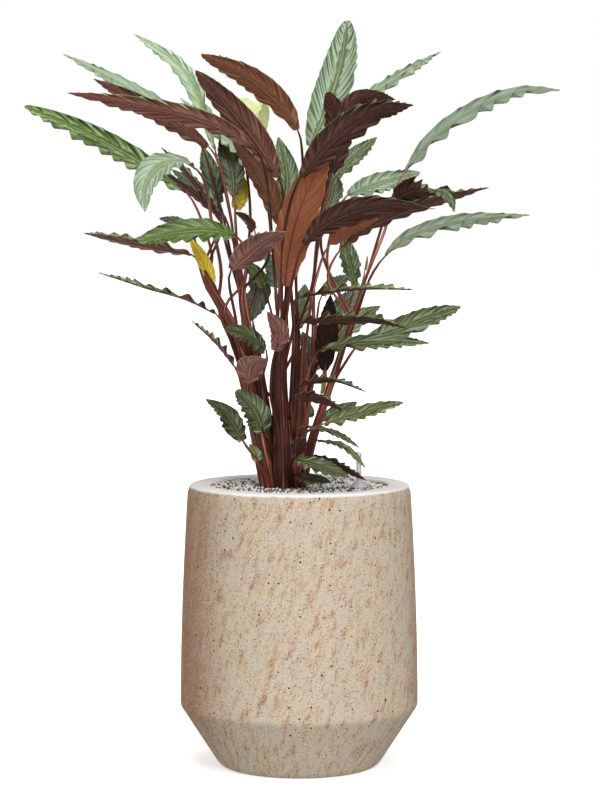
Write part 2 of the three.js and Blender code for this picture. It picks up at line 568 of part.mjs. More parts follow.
// A round stem along a curve, from a thick to a thin radius
function stemGeometry(curve, thick, thin, steps, sides) {
  const positions = [];
  let across = new THREE.Vector3(1, 0, 0);
  for (let step = 0; step <= steps; step++) {
    const centre = curve.getPoint(step / steps);
    const tangent = curve.getTangent(step / steps);
    across = across.addScaledVector(tangent, -across.dot(tangent)).normalize();
    const other = new THREE.Vector3().crossVectors(tangent, across);
    const radius = thick + (thin - thick) * (step / steps);
    for (let side = 0; side < sides; side++) {
      const angle = (side / sides) * Math.PI * 2;
      const corner = centre.clone().addScaledVector(across, radius * Math.cos(angle));
      corner.addScaledVector(other, radius * Math.sin(angle));
      positions.push(corner.x, corner.y, corner.z);
    }
  }
  const faces = [];
  const last = steps * sides;
  for (let side = 0; side < sides; side++) {
    const next = (side + 1) % sides;
    for (let low = 0; low < last; low += sides) {
      const high = low + sides;
      faces.push(low + side, low + next, high + next, low + side, high + next, high + side);
    }
    if (side > 0 && next > 0) faces.push(0, next, side, last, last + side, last + next);
  }
  const geometry = new THREE.BufferGeometry();
  geometry.setAttribute('position', new THREE.Float32BufferAttribute(positions, 3));
  geometry.setIndex(faces);
  return geometry;
}

function stalkGeometry(entry) {
  const points = stalkPoints(entry);
  const thick = STALK_FOOT + FOOT_PER_WIDTH * entry.width;
  const thin = STALK_NECK + NECK_PER_WIDTH * entry.width;
  return stemGeometry(smoothCurve(points), thick, thin, Math.max(points.length - 1, 3), STALK_SIDES);
}

function sheathGeometry({ wide, slim, path }) {
  return stemGeometry(smoothCurve(vectors(path)), wide, slim, 4, SHEATH_SIDES);
}

// The rooted crown, every stalk and the small inner leaves, grown together
function stalksGeometry() {
  const crown = lathe([
    [0, CROWN_BOTTOM],
    [CROWN_RADIUS - 6, CROWN_BOTTOM],
    [CROWN_RADIUS, CROWN_BOTTOM + 8],
    [CROWN_RADIUS, CROWN_TOP - 5],
    [CROWN_RADIUS - 8, CROWN_TOP],
    [0, CROWN_TOP + 4],
  ], ROUND_SIDES);
  crown.translate(CLUMP.x, CLUMP.y, 0);
  let body = solidFrom(crown);
  for (const entry of SHEATHS) body = body.add(solidFrom(sheathGeometry(entry)));
  for (const entry of [...LEAVES, ...SMALL_LEAVES]) body = body.add(solidFrom(stalkGeometry(entry)));
  for (const entry of SMALL_LEAVES) body = body.add(solidFrom(bladeGeometry(entry, 0)));
  return geometryFrom(body);
}

function named(name, geometry, surface) {
  const mesh = new THREE.Mesh(geometry, surface);
  mesh.name = name;
  return mesh;
}

function planter() {
  const group = new THREE.Group();
  group.add(named('pot', potGeometry(), material('stone', 0.85)));
  group.add(named('soil', soilGeometry(), material('soil', 0.95)));
  group.add(named('gravel', gravelGeometry(), material('gravel', 0.7)));
  return group;
}

function waterGauge() {
  const group = new THREE.Group();
  group.position.set(GAUGE.x, GAUGE.y, 0);
  group.add(named('gauge_collar', gaugeCollarGeometry(), material('clear', 0.25)));
  group.add(named('gauge_tube', gaugeTubeGeometry(), material('clear', 0.25)));
  group.add(named('gauge_float', gaugeFloatGeometry(), material('signal', 0.4)));
  return group;
}

function plant() {
  const group = new THREE.Group();
  group.add(named('stalks', stalksGeometry(), material('stalk', 0.5)));
  LEAVES.forEach((entry, index) => {
    const name = `leaf_${String(index + 1).padStart(2, '0')}`;
    group.add(named(name, bladeGeometry(entry), material(entry.tone, 0.5)));
  });
  return group;
}

const calathea = new THREE.Group();
calathea.name = 'potted_wavestar_calathea';
calathea.add(planter(), waterGauge(), plant());

export default calathea;
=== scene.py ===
"""Potted wavestar calathea: planter, gravel, water gauge, stalks and waved leaves, in metres."""

import logging
import math
import random
from dataclasses import dataclass
from enum import Enum
from typing import Iterable, Optional, Sequence, Union

import bpy
import numpy as np
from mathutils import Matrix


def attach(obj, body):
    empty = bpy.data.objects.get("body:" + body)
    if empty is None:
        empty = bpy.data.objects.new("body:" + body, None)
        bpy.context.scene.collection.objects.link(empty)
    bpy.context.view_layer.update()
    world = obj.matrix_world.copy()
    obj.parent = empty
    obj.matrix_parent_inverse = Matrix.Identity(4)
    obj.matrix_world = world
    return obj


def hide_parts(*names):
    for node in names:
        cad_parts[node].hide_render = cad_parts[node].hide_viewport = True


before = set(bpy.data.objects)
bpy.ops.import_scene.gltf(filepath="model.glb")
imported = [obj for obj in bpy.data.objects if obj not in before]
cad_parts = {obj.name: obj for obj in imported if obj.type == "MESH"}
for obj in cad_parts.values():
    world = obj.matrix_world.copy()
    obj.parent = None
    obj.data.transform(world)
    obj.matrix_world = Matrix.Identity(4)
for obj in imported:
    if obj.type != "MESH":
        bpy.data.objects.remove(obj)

LOG = logging.getLogger("calathea")
MM = 0.001
TURN = 2 * math.pi
BODY = "root"

Point = tuple[float, float, float]
Value = Union[float, Sequence[float], bpy.types.NodeSocket]
Profile = list[tuple[float, float]]
# A noise's scale, detail and roughness
Layer = tuple[float, float, float]
# A tube's points, radii and lightness
Tube = tuple[np.ndarray, np.ndarray, float]


def colour(code: str) -> tuple[float, float, float, float]:
    """Turns a display colour into the linear values that a shader takes.

    Args:
        code: Six hexadecimal digits, red, green and blue.

    Returns:
        Linear red, green, blue and an alpha of 1.
    """
    shares = [int(code[at:at + 2], 16) / 255 for at in (0, 2, 4)]
    linear = [((share + 0.055) / 1.055) ** 2.4 if share > 0.04045 else share / 12.92 for share in shares]
    return (linear[0], linear[1], linear[2], 1.0)


class Sheet:
    """A node tree that is filled in from short calls."""

    def __init__(self, tree: bpy.types.NodeTree) -> None:
        """Keeps the tree that the nodes go into."""
        self.tree = tree

    def feed(self, socket: bpy.types.NodeSocket, value: Value) -> None:
        """Joins a socket to another one, or sets its value.

        Args:
            socket: The input that is fed.
            value: An output socket, a number or a list of numbers.
        """
        if isinstance(value, bpy.types.NodeSocket):
            self.tree.links.new(value, socket)
        else:
            socket.default_value = value

    def node(self, kind: str, inputs: Optional[dict] = None, **settings: object) -> bpy.types.Node:
        """Adds one node.

        Args:
            kind: The node's type.
            inputs: Values by input name or number.
            settings: The node's own properties.

        Returns:
            The new node.
        """
        made = self.tree.nodes.new(kind)
        for name, value in settings.items():
            setattr(made, name, value)
        for key, value in (inputs or {}).items():
            self.feed(made.inputs[key], value)
        return made

    def math(self, operation: str, first: Value, second: Value = 0.0, third: Value = 0.0,
             clamp: bool = False) -> bpy.types.NodeSocket:
        """Adds one sum and returns its result."""
        inputs = {0: first, 1: second, 2: third}
        return self.node("ShaderNodeMath", inputs, operation=operation, use_clamp=clamp).outputs[0]

    def fit(self, value: Value, by: Value, plus: Value) -> bpy.types.NodeSocket:
        """Multiplies a value and adds to the product."""
        return self.math("MULTIPLY_ADD", value, by, plus)

    def total(self, *values: Value) -> bpy.types.NodeSocket:
        """Adds several values up.

        Args:
            values: Sockets or numbers.

        Returns:
            Their sum.
        """
        result = values[0]
        for value in values[1:]:
            result = self.math("ADD", result, value)
        return result

    def product(self, *values: Value) -> bpy.types.NodeSocket:
        """Multiplies several values.

        Args:
            values: Sockets or numbers.

        Returns:
            Their product.
        """
        result = values[0]
        for value in values[1:]:
            result = self.math("MULTIPLY", result, value)
        return result

    def vector(self, operation: str, first: Value, second: Value) -> bpy.types.NodeSocket:
        """Adds one sum of vectors.

        Args:
            operation: What is done with the vectors.
            first: The first vector.
            second: The second vector, or the number that the first is scaled by.

        Returns:
            The resulting vector.
        """
        made = self.node("ShaderNodeVectorMath", {0: first}, operation=operation)
        self.feed(made.inputs["Scale" if operation == "SCALE" else 1], second)
        return made.outputs["Vector"]

    def blend(self, share: Value, low: Value, high: Value, mode: str = "MIX") -> bpy.types.NodeSocket:
        """Mixes two colours and returns the result.

        Args:
            share: How much of the second colour shows.
            low: The first colour.
            high: The second colour.
            mode: How the second colour goes over the first.

        Returns:
            The mixed colour.
        """
        inputs = {0: share, 6: low, 7: high}
        return self.node("ShaderNodeMix", inputs, data_type="RGBA", blend_type=mode).outputs[2]

    def ramp(self, value: Value, low: float, high: float, start: float = 0.0,
             end: float = 1.0) -> bpy.types.NodeSocket:
        """Maps a value softly from one range to another.

        Args:
            value: The value that is mapped.
            low: Where the range starts.
            high: Where the range ends.
            start: The result at low.
            end: The result at high.

        Returns:
            The mapped value, held between start and end.
        """
        inputs = {0: value, 1: low, 2: high, 3: start, 4: end}
        return self.node("ShaderNodeMapRange", inputs, interpolation_type="SMOOTHSTEP").outputs[0]

    def noise(self, place: Value, scale: float, detail: float = 3.0,
              roughness: float = 0.5) -> bpy.types.NodeSocket:
        """Adds soft noise and returns its height from 0 to 1."""
        inputs = {"Vector": place, "Scale": scale, "Detail": detail, "Roughness": roughness}
        return self.node("ShaderNodeTexNoise", inputs).outputs[0]


class GrowTree:
    """A node tree with named inputs that is run on a mesh and leaves a plain mesh."""

    def __init__(self, name: str) -> None:
        """Starts an empty tree.

        Args:
            name: What the tree makes.
        """
        self.tree = bpy.data.node_groups.new(name, "GeometryNodeTree")
        self.sheet = Sheet(self.tree)
        self.tree.interface.new_socket("Geometry", in_out="INPUT", socket_type="NodeSocketGeometry")
        self.tree.interface.new_socket("Geometry", in_out="OUTPUT", socket_type="NodeSocketGeometry")
        self.start = self.tree.nodes.new("NodeGroupInput")
        self.end = self.tree.nodes.new("NodeGroupOutput")

    def size(self, name: str, default: float = 0.0) -> bpy.types.NodeSocket:
        """Adds a named number to the tree's inputs.

        Args:
            name: The input's name.
            default: Its value where none is given.

        Returns:
            The input's socket.
        """
        socket = self.tree.interface.new_socket(name, in_out="INPUT", socket_type="NodeSocketFloat")
        socket.default_value = default
        return self.start.outputs[name]

    def finish_input(self, name: str) -> bpy.types.NodeSocket:
        """Adds a named material to the tree's inputs and returns its socket."""
        self.tree.interface.new_socket(name, in_out="INPUT", socket_type="NodeSocketMaterial")
        return self.start.outputs[name]

    def read(self, name: str, kind: str = "FLOAT") -> bpy.types.NodeSocket:
        """Reads a named attribute of the mesh."""
        return self.sheet.node("GeometryNodeInputNamedAttribute", {"Name": name}, data_type=kind).outputs[0]

    def close(self, geometry: bpy.types.NodeSocket,
              finishes: Iterable[tuple[bpy.types.NodeSocket, Value]]) -> None:
        """Ends the tree in plain faces, shaded smooth, with their finishes set.

        Args:
            geometry: What the tree has made.
            finishes: Each material's socket with the faces that it is set on.
        """
        sheet = self.sheet
        result = sheet.node("GeometryNodeRealizeInstances", {"Geometry": geometry}).outputs[0]
        result = sheet.node("GeometryNodeSetShadeSmooth", {"Geometry": result}).outputs[0]
        for finish, chosen in finishes:
            inputs = {"Geometry": result, "Selection": chosen, "Material": finish}
            result = sheet.node("GeometryNodeSetMaterial", inputs).outputs[0]
        self.tree.links.new(result, self.end.inputs[0])

    def grow(self, name: str, mesh: bpy.types.Mesh, values: dict[str, object]) -> bpy.types.Object:
        """Runs the tree on a mesh and keeps the result as a plain mesh.

        Args:
            name: The new piece's name.
            mesh: What the tree starts from.
            values: The tree's inputs by name.

        Returns:
            The new piece, with no modifier.
        """
        source = bpy.data.objects.new(name + "_source", mesh)
        modifier = source.modifiers.new("grow", "NODES")
        modifier.node_group = self.tree
        for item in self.tree.interface.items_tree:
            if item.in_out == "INPUT" and item.name in values:
                modifier[item.identifier] = values[item.name]
        bpy.context.scene.collection.objects.link(source)
        graph = bpy.context.evaluated_depsgraph_get()
        made = bpy.data.meshes.new_from_object(
            source.evaluated_get(graph), preserve_all_data_layers=True, depsgraph=graph)
        source.modifiers.remove(modifier)
        bpy.data.objects.remove(source)
        return placed(name, made)


def placed(name: str, mesh: bpy.types.Mesh) -> bpy.types.Object:
    """Puts a mesh into the scene as an object at the origin.

    Args:
        name: The piece's name.
        mesh: The mesh, with its place in its vertices.

    Returns:
        The new object.
    """
    mesh.name = name
    piece = bpy.data.objects.new(name, mesh)
    bpy.context.scene.collection.objects.link(piece)
    return piece


def dress(piece: bpy.types.Object, finish: bpy.types.Material) -> None:
    """Gives a turned piece its finish and shades it smooth."""
    piece.data.materials.append(finish)
    piece.data.polygons.foreach_set("use_smooth", [True] * len(piece.data.polygons))


def declare(piece: bpy.types.Object, slot: str, *nodes: str) -> bpy.types.Object:
    """Rides a piece on the part's body and says what it stands for.

    Args:
        piece: The finished piece.
        slot: The record's material slot; not used.
        nodes: The nodes that the piece replaces.

    Returns:
        The same piece.
    """
    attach(piece, BODY)
    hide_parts(*nodes)
    LOG.info("%s: %d faces, stands for %s", piece.name, len(piece.data.polygons), ", ".join(nodes))
    return piece


def mesh_from(name: str, points: np.ndarray, faces: Sequence[Sequence[int]],
              edges: Sequence[Sequence[int]] = ()) -> bpy.types.Mesh:
    """Makes a mesh from points and faces.

    Args:
        name: The mesh's name.
        points: One row for each vertex.
        faces: Vertex numbers for each face.
        edges: Vertex numbers for each loose edge.

    Returns:
        The new mesh.
    """
    mesh = bpy.data.meshes.new(name)
    mesh.from_pydata(points.tolist(), edges, faces)
    mesh.update()
    return mesh


def tag(mesh: bpy.types.Mesh, name: str, values: np.ndarray) -> None:
    """Stores a number or a vector at each vertex.

    Args:
        mesh: The mesh that is tagged.
        name: The attribute's name.
        values: One number or one row of three for each vertex.
    """
    flat = values.ndim == 1
    layer = mesh.attributes.new(name, "FLOAT" if flat else "FLOAT_VECTOR", "POINT")
    layer.data.foreach_set("value" if flat else "vector", values.astype(np.float32).ravel())


def turned(name: str, profile: Profile, sides: int,
           centre: Sequence[float] = (0.0, 0.0)) -> bpy.types.Mesh:
    """Turns a profile about an upright axis.

    Args:
        name: The mesh's name.
        profile: Radius and height in millimetres, from the bottom up the outside and back down
            the inside, either from axis to axis or closed on itself.
        sides: How many faces go round.
        centre: Where the axis stands.

    Returns:
        The closed mesh.
    """
    angles = np.arange(sides) * TURN / sides
    points, rings = [], []
    for radius, height in profile:
        if radius == 0:
            rings.append([len(points)] * sides)
            points.append((centre[0], centre[1], height))
            continue
        rings.append(list(range(len(points), len(points) + sides)))
        points.extend((centre[0] + radius * math.cos(angle), centre[1] + radius * math.sin(angle), height)
                      for angle in angles)
    if profile[0][0] != 0:
        rings.append(rings[0])
    faces = []
    for low, high in zip(rings, rings[1:]):
        for side in range(sides):
            after = (side + 1) % sides
            corners = [low[side], low[after], high[after], high[side]]
            face = [corner for at, corner in enumerate(corners) if corner not in corners[:at]]
            if len(face) > 2:
                faces.append(face)
    return mesh_from(name, np.array(points) * MM, faces)


def corner(start: tuple[float, float], middle: tuple[float, float], end: tuple[float, float],
           steps: int = 5) -> Profile:
    """Rounds the corner of a profile.

    Args:
        start: Where the rounding starts.
        middle: The sharp corner.
        end: Where the rounding ends.
        steps: How many stretches it has.

    Returns:
        The points of the round corner.
    """
    made = []
    for step in range(steps + 1):
        t = step / steps
        weights = ((1 - t) ** 2, 2 * t * (1 - t), t * t)
        made.append(tuple(sum(w * p[axis] for w, p in zip(weights, (start, middle, end))) for axis in (0, 1)))
    return made


class SmoothCurve:
    """A centripetal curve through points, the same one that the solids follow."""

    SAMPLES = 400

    def __init__(self, points: Sequence[Point]) -> None:
        """Prepares the curve.

        Args:
            points: The points in millimetres.
        """
        through = np.array(points, float)
        first = 2 * through[0] - through[1]
        last = 2 * through[-1] - through[-2]
        self.knots = np.vstack([first, through, last])
        self.shares = np.linspace(0, 1, self.SAMPLES + 1)
        self.samples = self.at(self.shares)
        steps = np.linalg.norm(np.diff(self.samples, axis=0), axis=1)
        self.run = np.concatenate([[0], np.cumsum(steps)])
        self.length = float(self.run[-1])

    def at(self, share: np.ndarray) -> np.ndarray:
        """Finds points by the curve's own parameter.

        Args:
            share: Shares from 0 to 1.

        Returns:
            One point for each share.
        """
        spans = len(self.knots) - 3
        place = np.atleast_1d(share) * spans
        span = np.minimum(place.astype(int), spans - 1)
        t = (place - span)[:, None]
        a, b, c, d = (self.knots[span + offset] for offset in range(4))
        before, here, after = (np.sqrt(np.linalg.norm(end - start, axis=1))[:, None]
                               for start, end in ((a, b), (b, c), (c, d)))
        leave = ((b - a) / before - (c - a) / (before + here) + (c - b) / here) * here
        reach = ((c - b) / here - (d - b) / (here + after) + (d - c) / after) * here
        square = 3 * (c - b) - 2 * leave - reach
        cube = 2 * (b - c) + leave + reach
        return b + t * (leave + t * (square + t * cube))

    def along(self, share: np.ndarray) -> tuple[np.ndarray, np.ndarray]:
        """Finds points and directions by the length of the curve.

        Args:
            share: Shares of the length from 0 to 1.

        Returns:
            The points and the unit directions there.
        """
        own = np.interp(np.asarray(share) * self.length, self.run, self.shares)
        small = 0.5 / self.SAMPLES
        ahead = self.at(np.clip(own + small, 0, 1)) - self.at(np.clip(own - small, 0, 1))
        return self.at(own), ahead / np.linalg.norm(ahead, axis=1)[:, None]


class Paint(Sheet):
    """A material with one shader, filled in from short calls."""

    def __init__(self, name: str, **shader: Value) -> None:
        """Starts a material.

        Args:
            name: The finish's name.
            shader: Fixed values of the shader's own sockets.
        """
        self.material = bpy.data.materials.new(name)
        self.material.use_nodes = True
        super().__init__(self.material.node_tree)
        self.shader = self.tree.nodes["Principled BSDF"]
        for socket, value in shader.items():
            self.shader.inputs[socket.replace("_", " ")].default_value = value
        self.place = self.node("ShaderNodeTexCoord").outputs["Object"]

    def stretched(self, x: float, y: float, z: float) -> bpy.types.NodeSocket:
        """Scales the piece's own coordinates."""
        return self.vector("MULTIPLY", self.place, (x, y, z))

    def read(self, name: str) -> bpy.types.NodeSocket:
        """Reads a number that the mesh holds."""
        return self.node("ShaderNodeAttribute", attribute_name=name).outputs["Fac"]

    def relief(self, height: Value, distance: float, strength: float = 1.0) -> None:
        """Raises the surface.

        Args:
            height: Height from 0 to 1.
            distance: What a height of 1 measures in metres.
            strength: How much of it counts.
        """
        inputs = {"Height": height, "Distance": distance, "Strength": strength}
        self.tree.links.new(self.node("ShaderNodeBump", inputs).outputs[0], self.shader.inputs["Normal"])

    def finish(self, colour_socket: Value, roughness: Optional[Value] = None) -> bpy.types.Material:
        """Joins the colour and the roughness to the shader.

        Args:
            colour_socket: The colour.
            roughness: The roughness, if it varies.

        Returns:
            The material.
        """
        self.feed(self.shader.inputs["Base Color"], colour_socket)
        if roughness is not None:
            self.feed(self.shader.inputs["Roughness"], roughness)
        return self.material


@dataclass(frozen=True)
class CastStone:
    """Beige cast stone with leaning tan smudges, brown flecks, pits painted near-black for the shade inside
    them, sides darkened with a brown that is partly stain and partly painted shade, and an off-white wash at
    the rim.
    """

    body: str = "cebeaa"
    cream: str = "cfbfa3"
    grey: str = "cbbfb1"
    tan: str = "b98d66"
    rust: str = "8e5d3e"
    # The brown that darkens the left and right sides: partly stain, partly painted shade
    stain_and_shade: str = "a87350"
    fleck: str = "80563c"
    # Near-black of the pits: painted shade inside them
    pit: str = "2a1c14"
    chip: str = "f0e8dc"
    wash: str = "f3f0eb"
    wash_from: float = 0.4538
    wash_soft: tuple[float, float] = (0.0025, 0.0015)
    reach: float = 0.185
    lean: float = 0.28
    stretch: float = 0.36
    cloud: Layer = (13, 3, 0.55)
    patch: Layer = (34, 3, 0.6)
    mottle: Layer = (300, 4, 0.75)
    broad: Layer = (30, 3, 0.6)
    stroke: Layer = (90, 5, 0.74)
    grain: Layer = (900, 2, 0.7)
    pit_depth: float = 0.0012

    def dots(self, paint: Paint, place: Value, scale: float, radius: float,
             kept: Value) -> bpy.types.NodeSocket:
        """Scatters round dots.

        Args:
            paint: The material that is filled in.
            place: The coordinates that the dots lie in.
            scale: Cells in a metre.
            radius: Largest radius as a share of a cell.
            kept: Share of the cells that hold a dot.

        Returns:
            1 in a dot and 0 outside.
        """
        cells = paint.node("ShaderNodeTexVoronoi", {"Vector": place, "Scale": scale}, voronoi_dimensions="2D")
        chance = paint.node("ShaderNodeSeparateColor", {0: cells.outputs["Color"]})
        size = paint.fit(chance.outputs[1], radius * 0.7, radius * 0.3)
        past_edge = paint.math("SUBTRACT", cells.outputs["Distance"], size)
        inside = paint.ramp(past_edge, 0.0, radius * 0.35, 1.0, 0.0)
        return paint.math("MULTIPLY", inside, paint.math("LESS_THAN", chance.outputs[0], kept))

    def material(self) -> bpy.types.Material:
        """Fills the stone's material in.

        Returns:
            The material.
        """
        paint = Paint("cast_stone", Roughness=0.85, Specular_IOR_Level=0.3)
        axes = paint.node("ShaderNodeSeparateXYZ", {0: paint.place})
        x, y, z = (axes.outputs[at] for at in range(3))
        arc = paint.product(paint.math("ARCTAN2", x, paint.product(y, -1.0)), self.reach)
        flat = paint.node("ShaderNodeCombineXYZ", {0: arc, 1: z}).outputs[0]
        leaning = paint.total(arc, paint.product(z, -self.lean))
        shortened = paint.product(z, self.stretch)
        long_way = paint.node("ShaderNodeCombineXYZ", {0: leaning, 1: shortened}).outputs[0]
        cloud, patch, mottle = (paint.noise(flat, *layer) for layer in (self.cloud, self.patch, self.mottle))
        broad, stroke = (paint.noise(long_way, *layer) for layer in (self.broad, self.stroke))
        grain = paint.noise(paint.place, *self.grain)
        # Painted shade: the left and right sides, as seen from the front, are darkened with a brown that is
        # partly the stone's own stain; more smudges and flecks gather there too
        left = paint.ramp(x, -0.187, -0.1, 1.0, 0.0)
        right = paint.ramp(x, 0.165, 0.197, 0.0, 0.75)
        side = paint.math("MAXIMUM", left, right)
        now = paint.blend(paint.ramp(cloud, 0.4, 0.62), colour(self.body), colour(self.cream))
        now = paint.blend(paint.product(paint.ramp(patch, 0.45, 0.62), 0.8), now, colour(self.grey))
        darkened = paint.product(side, paint.ramp(broad, 0.3, 0.62, 0.6, 1.0), 0.78)
        now = paint.blend(darkened, now, colour(self.stain_and_shade))
        near = paint.math("MAXIMUM", paint.ramp(broad, 0.4, 0.58, 0.45, 1.0), side)
        rough = paint.ramp(mottle, 0.36, 0.54, 0.2, 1.0)
        smudge = paint.product(paint.ramp(stroke, 0.46, 0.62), near, rough)
        now = paint.blend(paint.product(smudge, 0.8), now, colour(self.tan))
        core = paint.product(paint.ramp(stroke, 0.58, 0.7), near, rough, 0.6)
        now = paint.blend(core, now, colour(self.rust))
        now = paint.blend(0.3, now, paint.ramp(mottle, 0.2, 0.8), "OVERLAY")
        now = paint.blend(0.12, now, paint.ramp(grain, 0.3, 0.7), "OVERLAY")
        in_stroke = paint.product(paint.ramp(stroke, 0.46, 0.62), 0.5)
        wanted = paint.total(in_stroke, paint.product(side, 0.35), 0.05)
        speck = self.dots(paint, flat, 330, 0.34, wanted)
        now = paint.blend(paint.product(speck, 0.75), now, colour(self.fleck))
        chip = self.dots(paint, flat, 170, 0.13, 0.14)
        now = paint.blend(paint.product(chip, 0.7), now, colour(self.chip))
        # Painted shade: the pits are painted near-black for the shade inside them, and the bump sinks them a
        # little
        large, small = self.dots(paint, flat, 62, 0.09, 0.17), self.dots(paint, flat, 160, 0.13, 0.17)
        pit = paint.math("MAXIMUM", large, paint.product(small, 0.8))
        now = paint.blend(pit, now, colour(self.pit))
        edge = paint.total(z, paint.product(paint.noise(paint.place, 60, 3), 0.004), -0.002)
        wash = paint.ramp(edge, self.wash_from - self.wash_soft[0], self.wash_from + self.wash_soft[1])
        now = paint.blend(wash, now, colour(self.wash))
        bare = paint.math("SUBTRACT", 1.0, wash)
        sunk = paint.product(pit, bare, -1.0)
        dip = paint.total(sunk, paint.product(grain, 0.25), paint.product(mottle, bare, 0.5))
        paint.relief(dip, self.pit_depth, 0.7)
        return paint.finish(now)


@dataclass(frozen=True)
class Grit:
    """Washed gravel of pale, cream and dark grains, each grain in a tone of its own."""

    tones: tuple[str, ...] = ("5e5054", "f0f7f6", "f2e6da", "8a7066", "dff0f3", "e8d3c0", "43373b", "faf7f2")

    def material(self) -> bpy.types.Material:
        """Fills the gravel's material in.

        Returns:
            The material.
        """
        paint = Paint("washed_gravel", Roughness=0.5)
        ramp = paint.node("ShaderNodeValToRGB", {0: paint.read("grain")})
        ramp.color_ramp.interpolation = "CONSTANT"
        steps = ramp.color_ramp.elements
        while len(steps) < len(self.tones):
            steps.new(1.0)
        for at, tone in enumerate(self.tones):
            steps[at].position = at / len(self.tones)
            steps[at].color = colour(tone)
        mottle = paint.noise(paint.place, 900, 3, 0.6)
        return paint.finish(paint.blend(0.35, ramp.outputs[0], paint.ramp(mottle, 0.3, 0.7), "OVERLAY"))


@dataclass(frozen=True)
class Mould:
    """Dark, damp potting mix or the shade between the grains."""

    name: str
    dark: str
    light: str

    def material(self) -> bpy.types.Material:
        """Fills the mix's material in.

        Returns:
            The material.
        """
        paint = Paint(self.name, Roughness=0.95)
        crumbs = paint.noise(paint.place, 260, 5, 0.7)
        paint.relief(crumbs, 0.003)
        return paint.finish(paint.blend(paint.ramp(crumbs, 0.35, 0.7), colour(self.dark), colour(self.light)))


@dataclass(frozen=True)
class ClearPlastic:
    """Clear, faintly grey plastic of the water gauge."""

    name: str
    tint: str
    cloudy: float

    def material(self) -> bpy.types.Material:
        """Fills the plastic's material in.

        Returns:
            The material.
        """
        tint = colour(self.tint)
        paint = Paint(self.name, Roughness=0.12, IOR=1.47, Transmission_Weight=1 - self.cloudy)
        scuffs = paint.noise(paint.stretched(1, 1, 0.15), 420, 3)
        paint.relief(scuffs, 0.0002, 0.4)
        darkened = tuple(0.9 * share for share in tint)
        return paint.finish(paint.blend(paint.ramp(scuffs, 0.3, 0.7), tint, darkened))


@dataclass(frozen=True)
class SolidPlastic:
    """Glossy coloured plastic."""

    name: str
    light: str
    dark: str

    def material(self) -> bpy.types.Material:
        """Fills the plastic's material in.

        Returns:
            The material.
        """
        paint = Paint(self.name, Roughness=0.3)
        cloud = paint.noise(paint.place, 500, 2)
        return paint.finish(paint.blend(cloud, colour(self.light), colour(self.dark)))


@dataclass(frozen=True)
class StalkSkin:
    """Reddish-brown stalks with long upright ridges: painted shade between the ridges, painted highlight on
    their crests, and broad darker patches.
    """

    name: str = "stalk_skin"
    base: str = "703a2d"
    # light is the painted highlight on the ridges' crests; dark is the painted shade between them and the
    # colour of the broad darker patches
    light: str = "b98472"
    dark: str = "35170f"
    olive: str = "80703f"
    ridge_depth: float = 0.0012

    def material(self) -> bpy.types.Material:
        """Fills the stalks' material in.

        Returns:
            The material.
        """
        paint = Paint(self.name, Roughness=0.4, Specular_IOR_Level=0.14)
        ring = paint.node("ShaderNodeAttribute", attribute_name="ring").outputs["Vector"]
        shade = paint.read("shade")
        along = paint.total(paint.product(paint.read("run"), 0.03), paint.product(shade, 0.37))
        lift = paint.node("ShaderNodeCombineXYZ", {2: along}).outputs[0]
        place = paint.vector("ADD", paint.vector("SCALE", ring, paint.read("girth")), lift)
        ridge = paint.noise(place, 280, 2, 0.6)
        broad = paint.noise(place, 90, 3)
        # Painted shade where the ridge bump sinks and painted highlight where it rises
        now = paint.blend(paint.ramp(ridge, 0.38, 0.58), colour(self.dark), colour(self.base))
        ridge_highlights, darker_patches = paint.ramp(ridge, 0.56, 0.7), paint.ramp(broad, 0.5, 0.7)
        green = paint.ramp(broad, 0.34, 0.26)
        coats = ((ridge_highlights, 0.75, self.light), (darker_patches, 0.3, self.dark), (green, 0.4, self.olive))
        for where, share, tint in coats:
            now = paint.blend(paint.product(where, share), now, colour(tint))
        paint.relief(ridge, self.ridge_depth, 0.6)
        # The colour is scaled by each tube's lightness, partly its own tone and partly painted light and
        # shade
        return paint.finish(paint.vector("SCALE", now, shade))


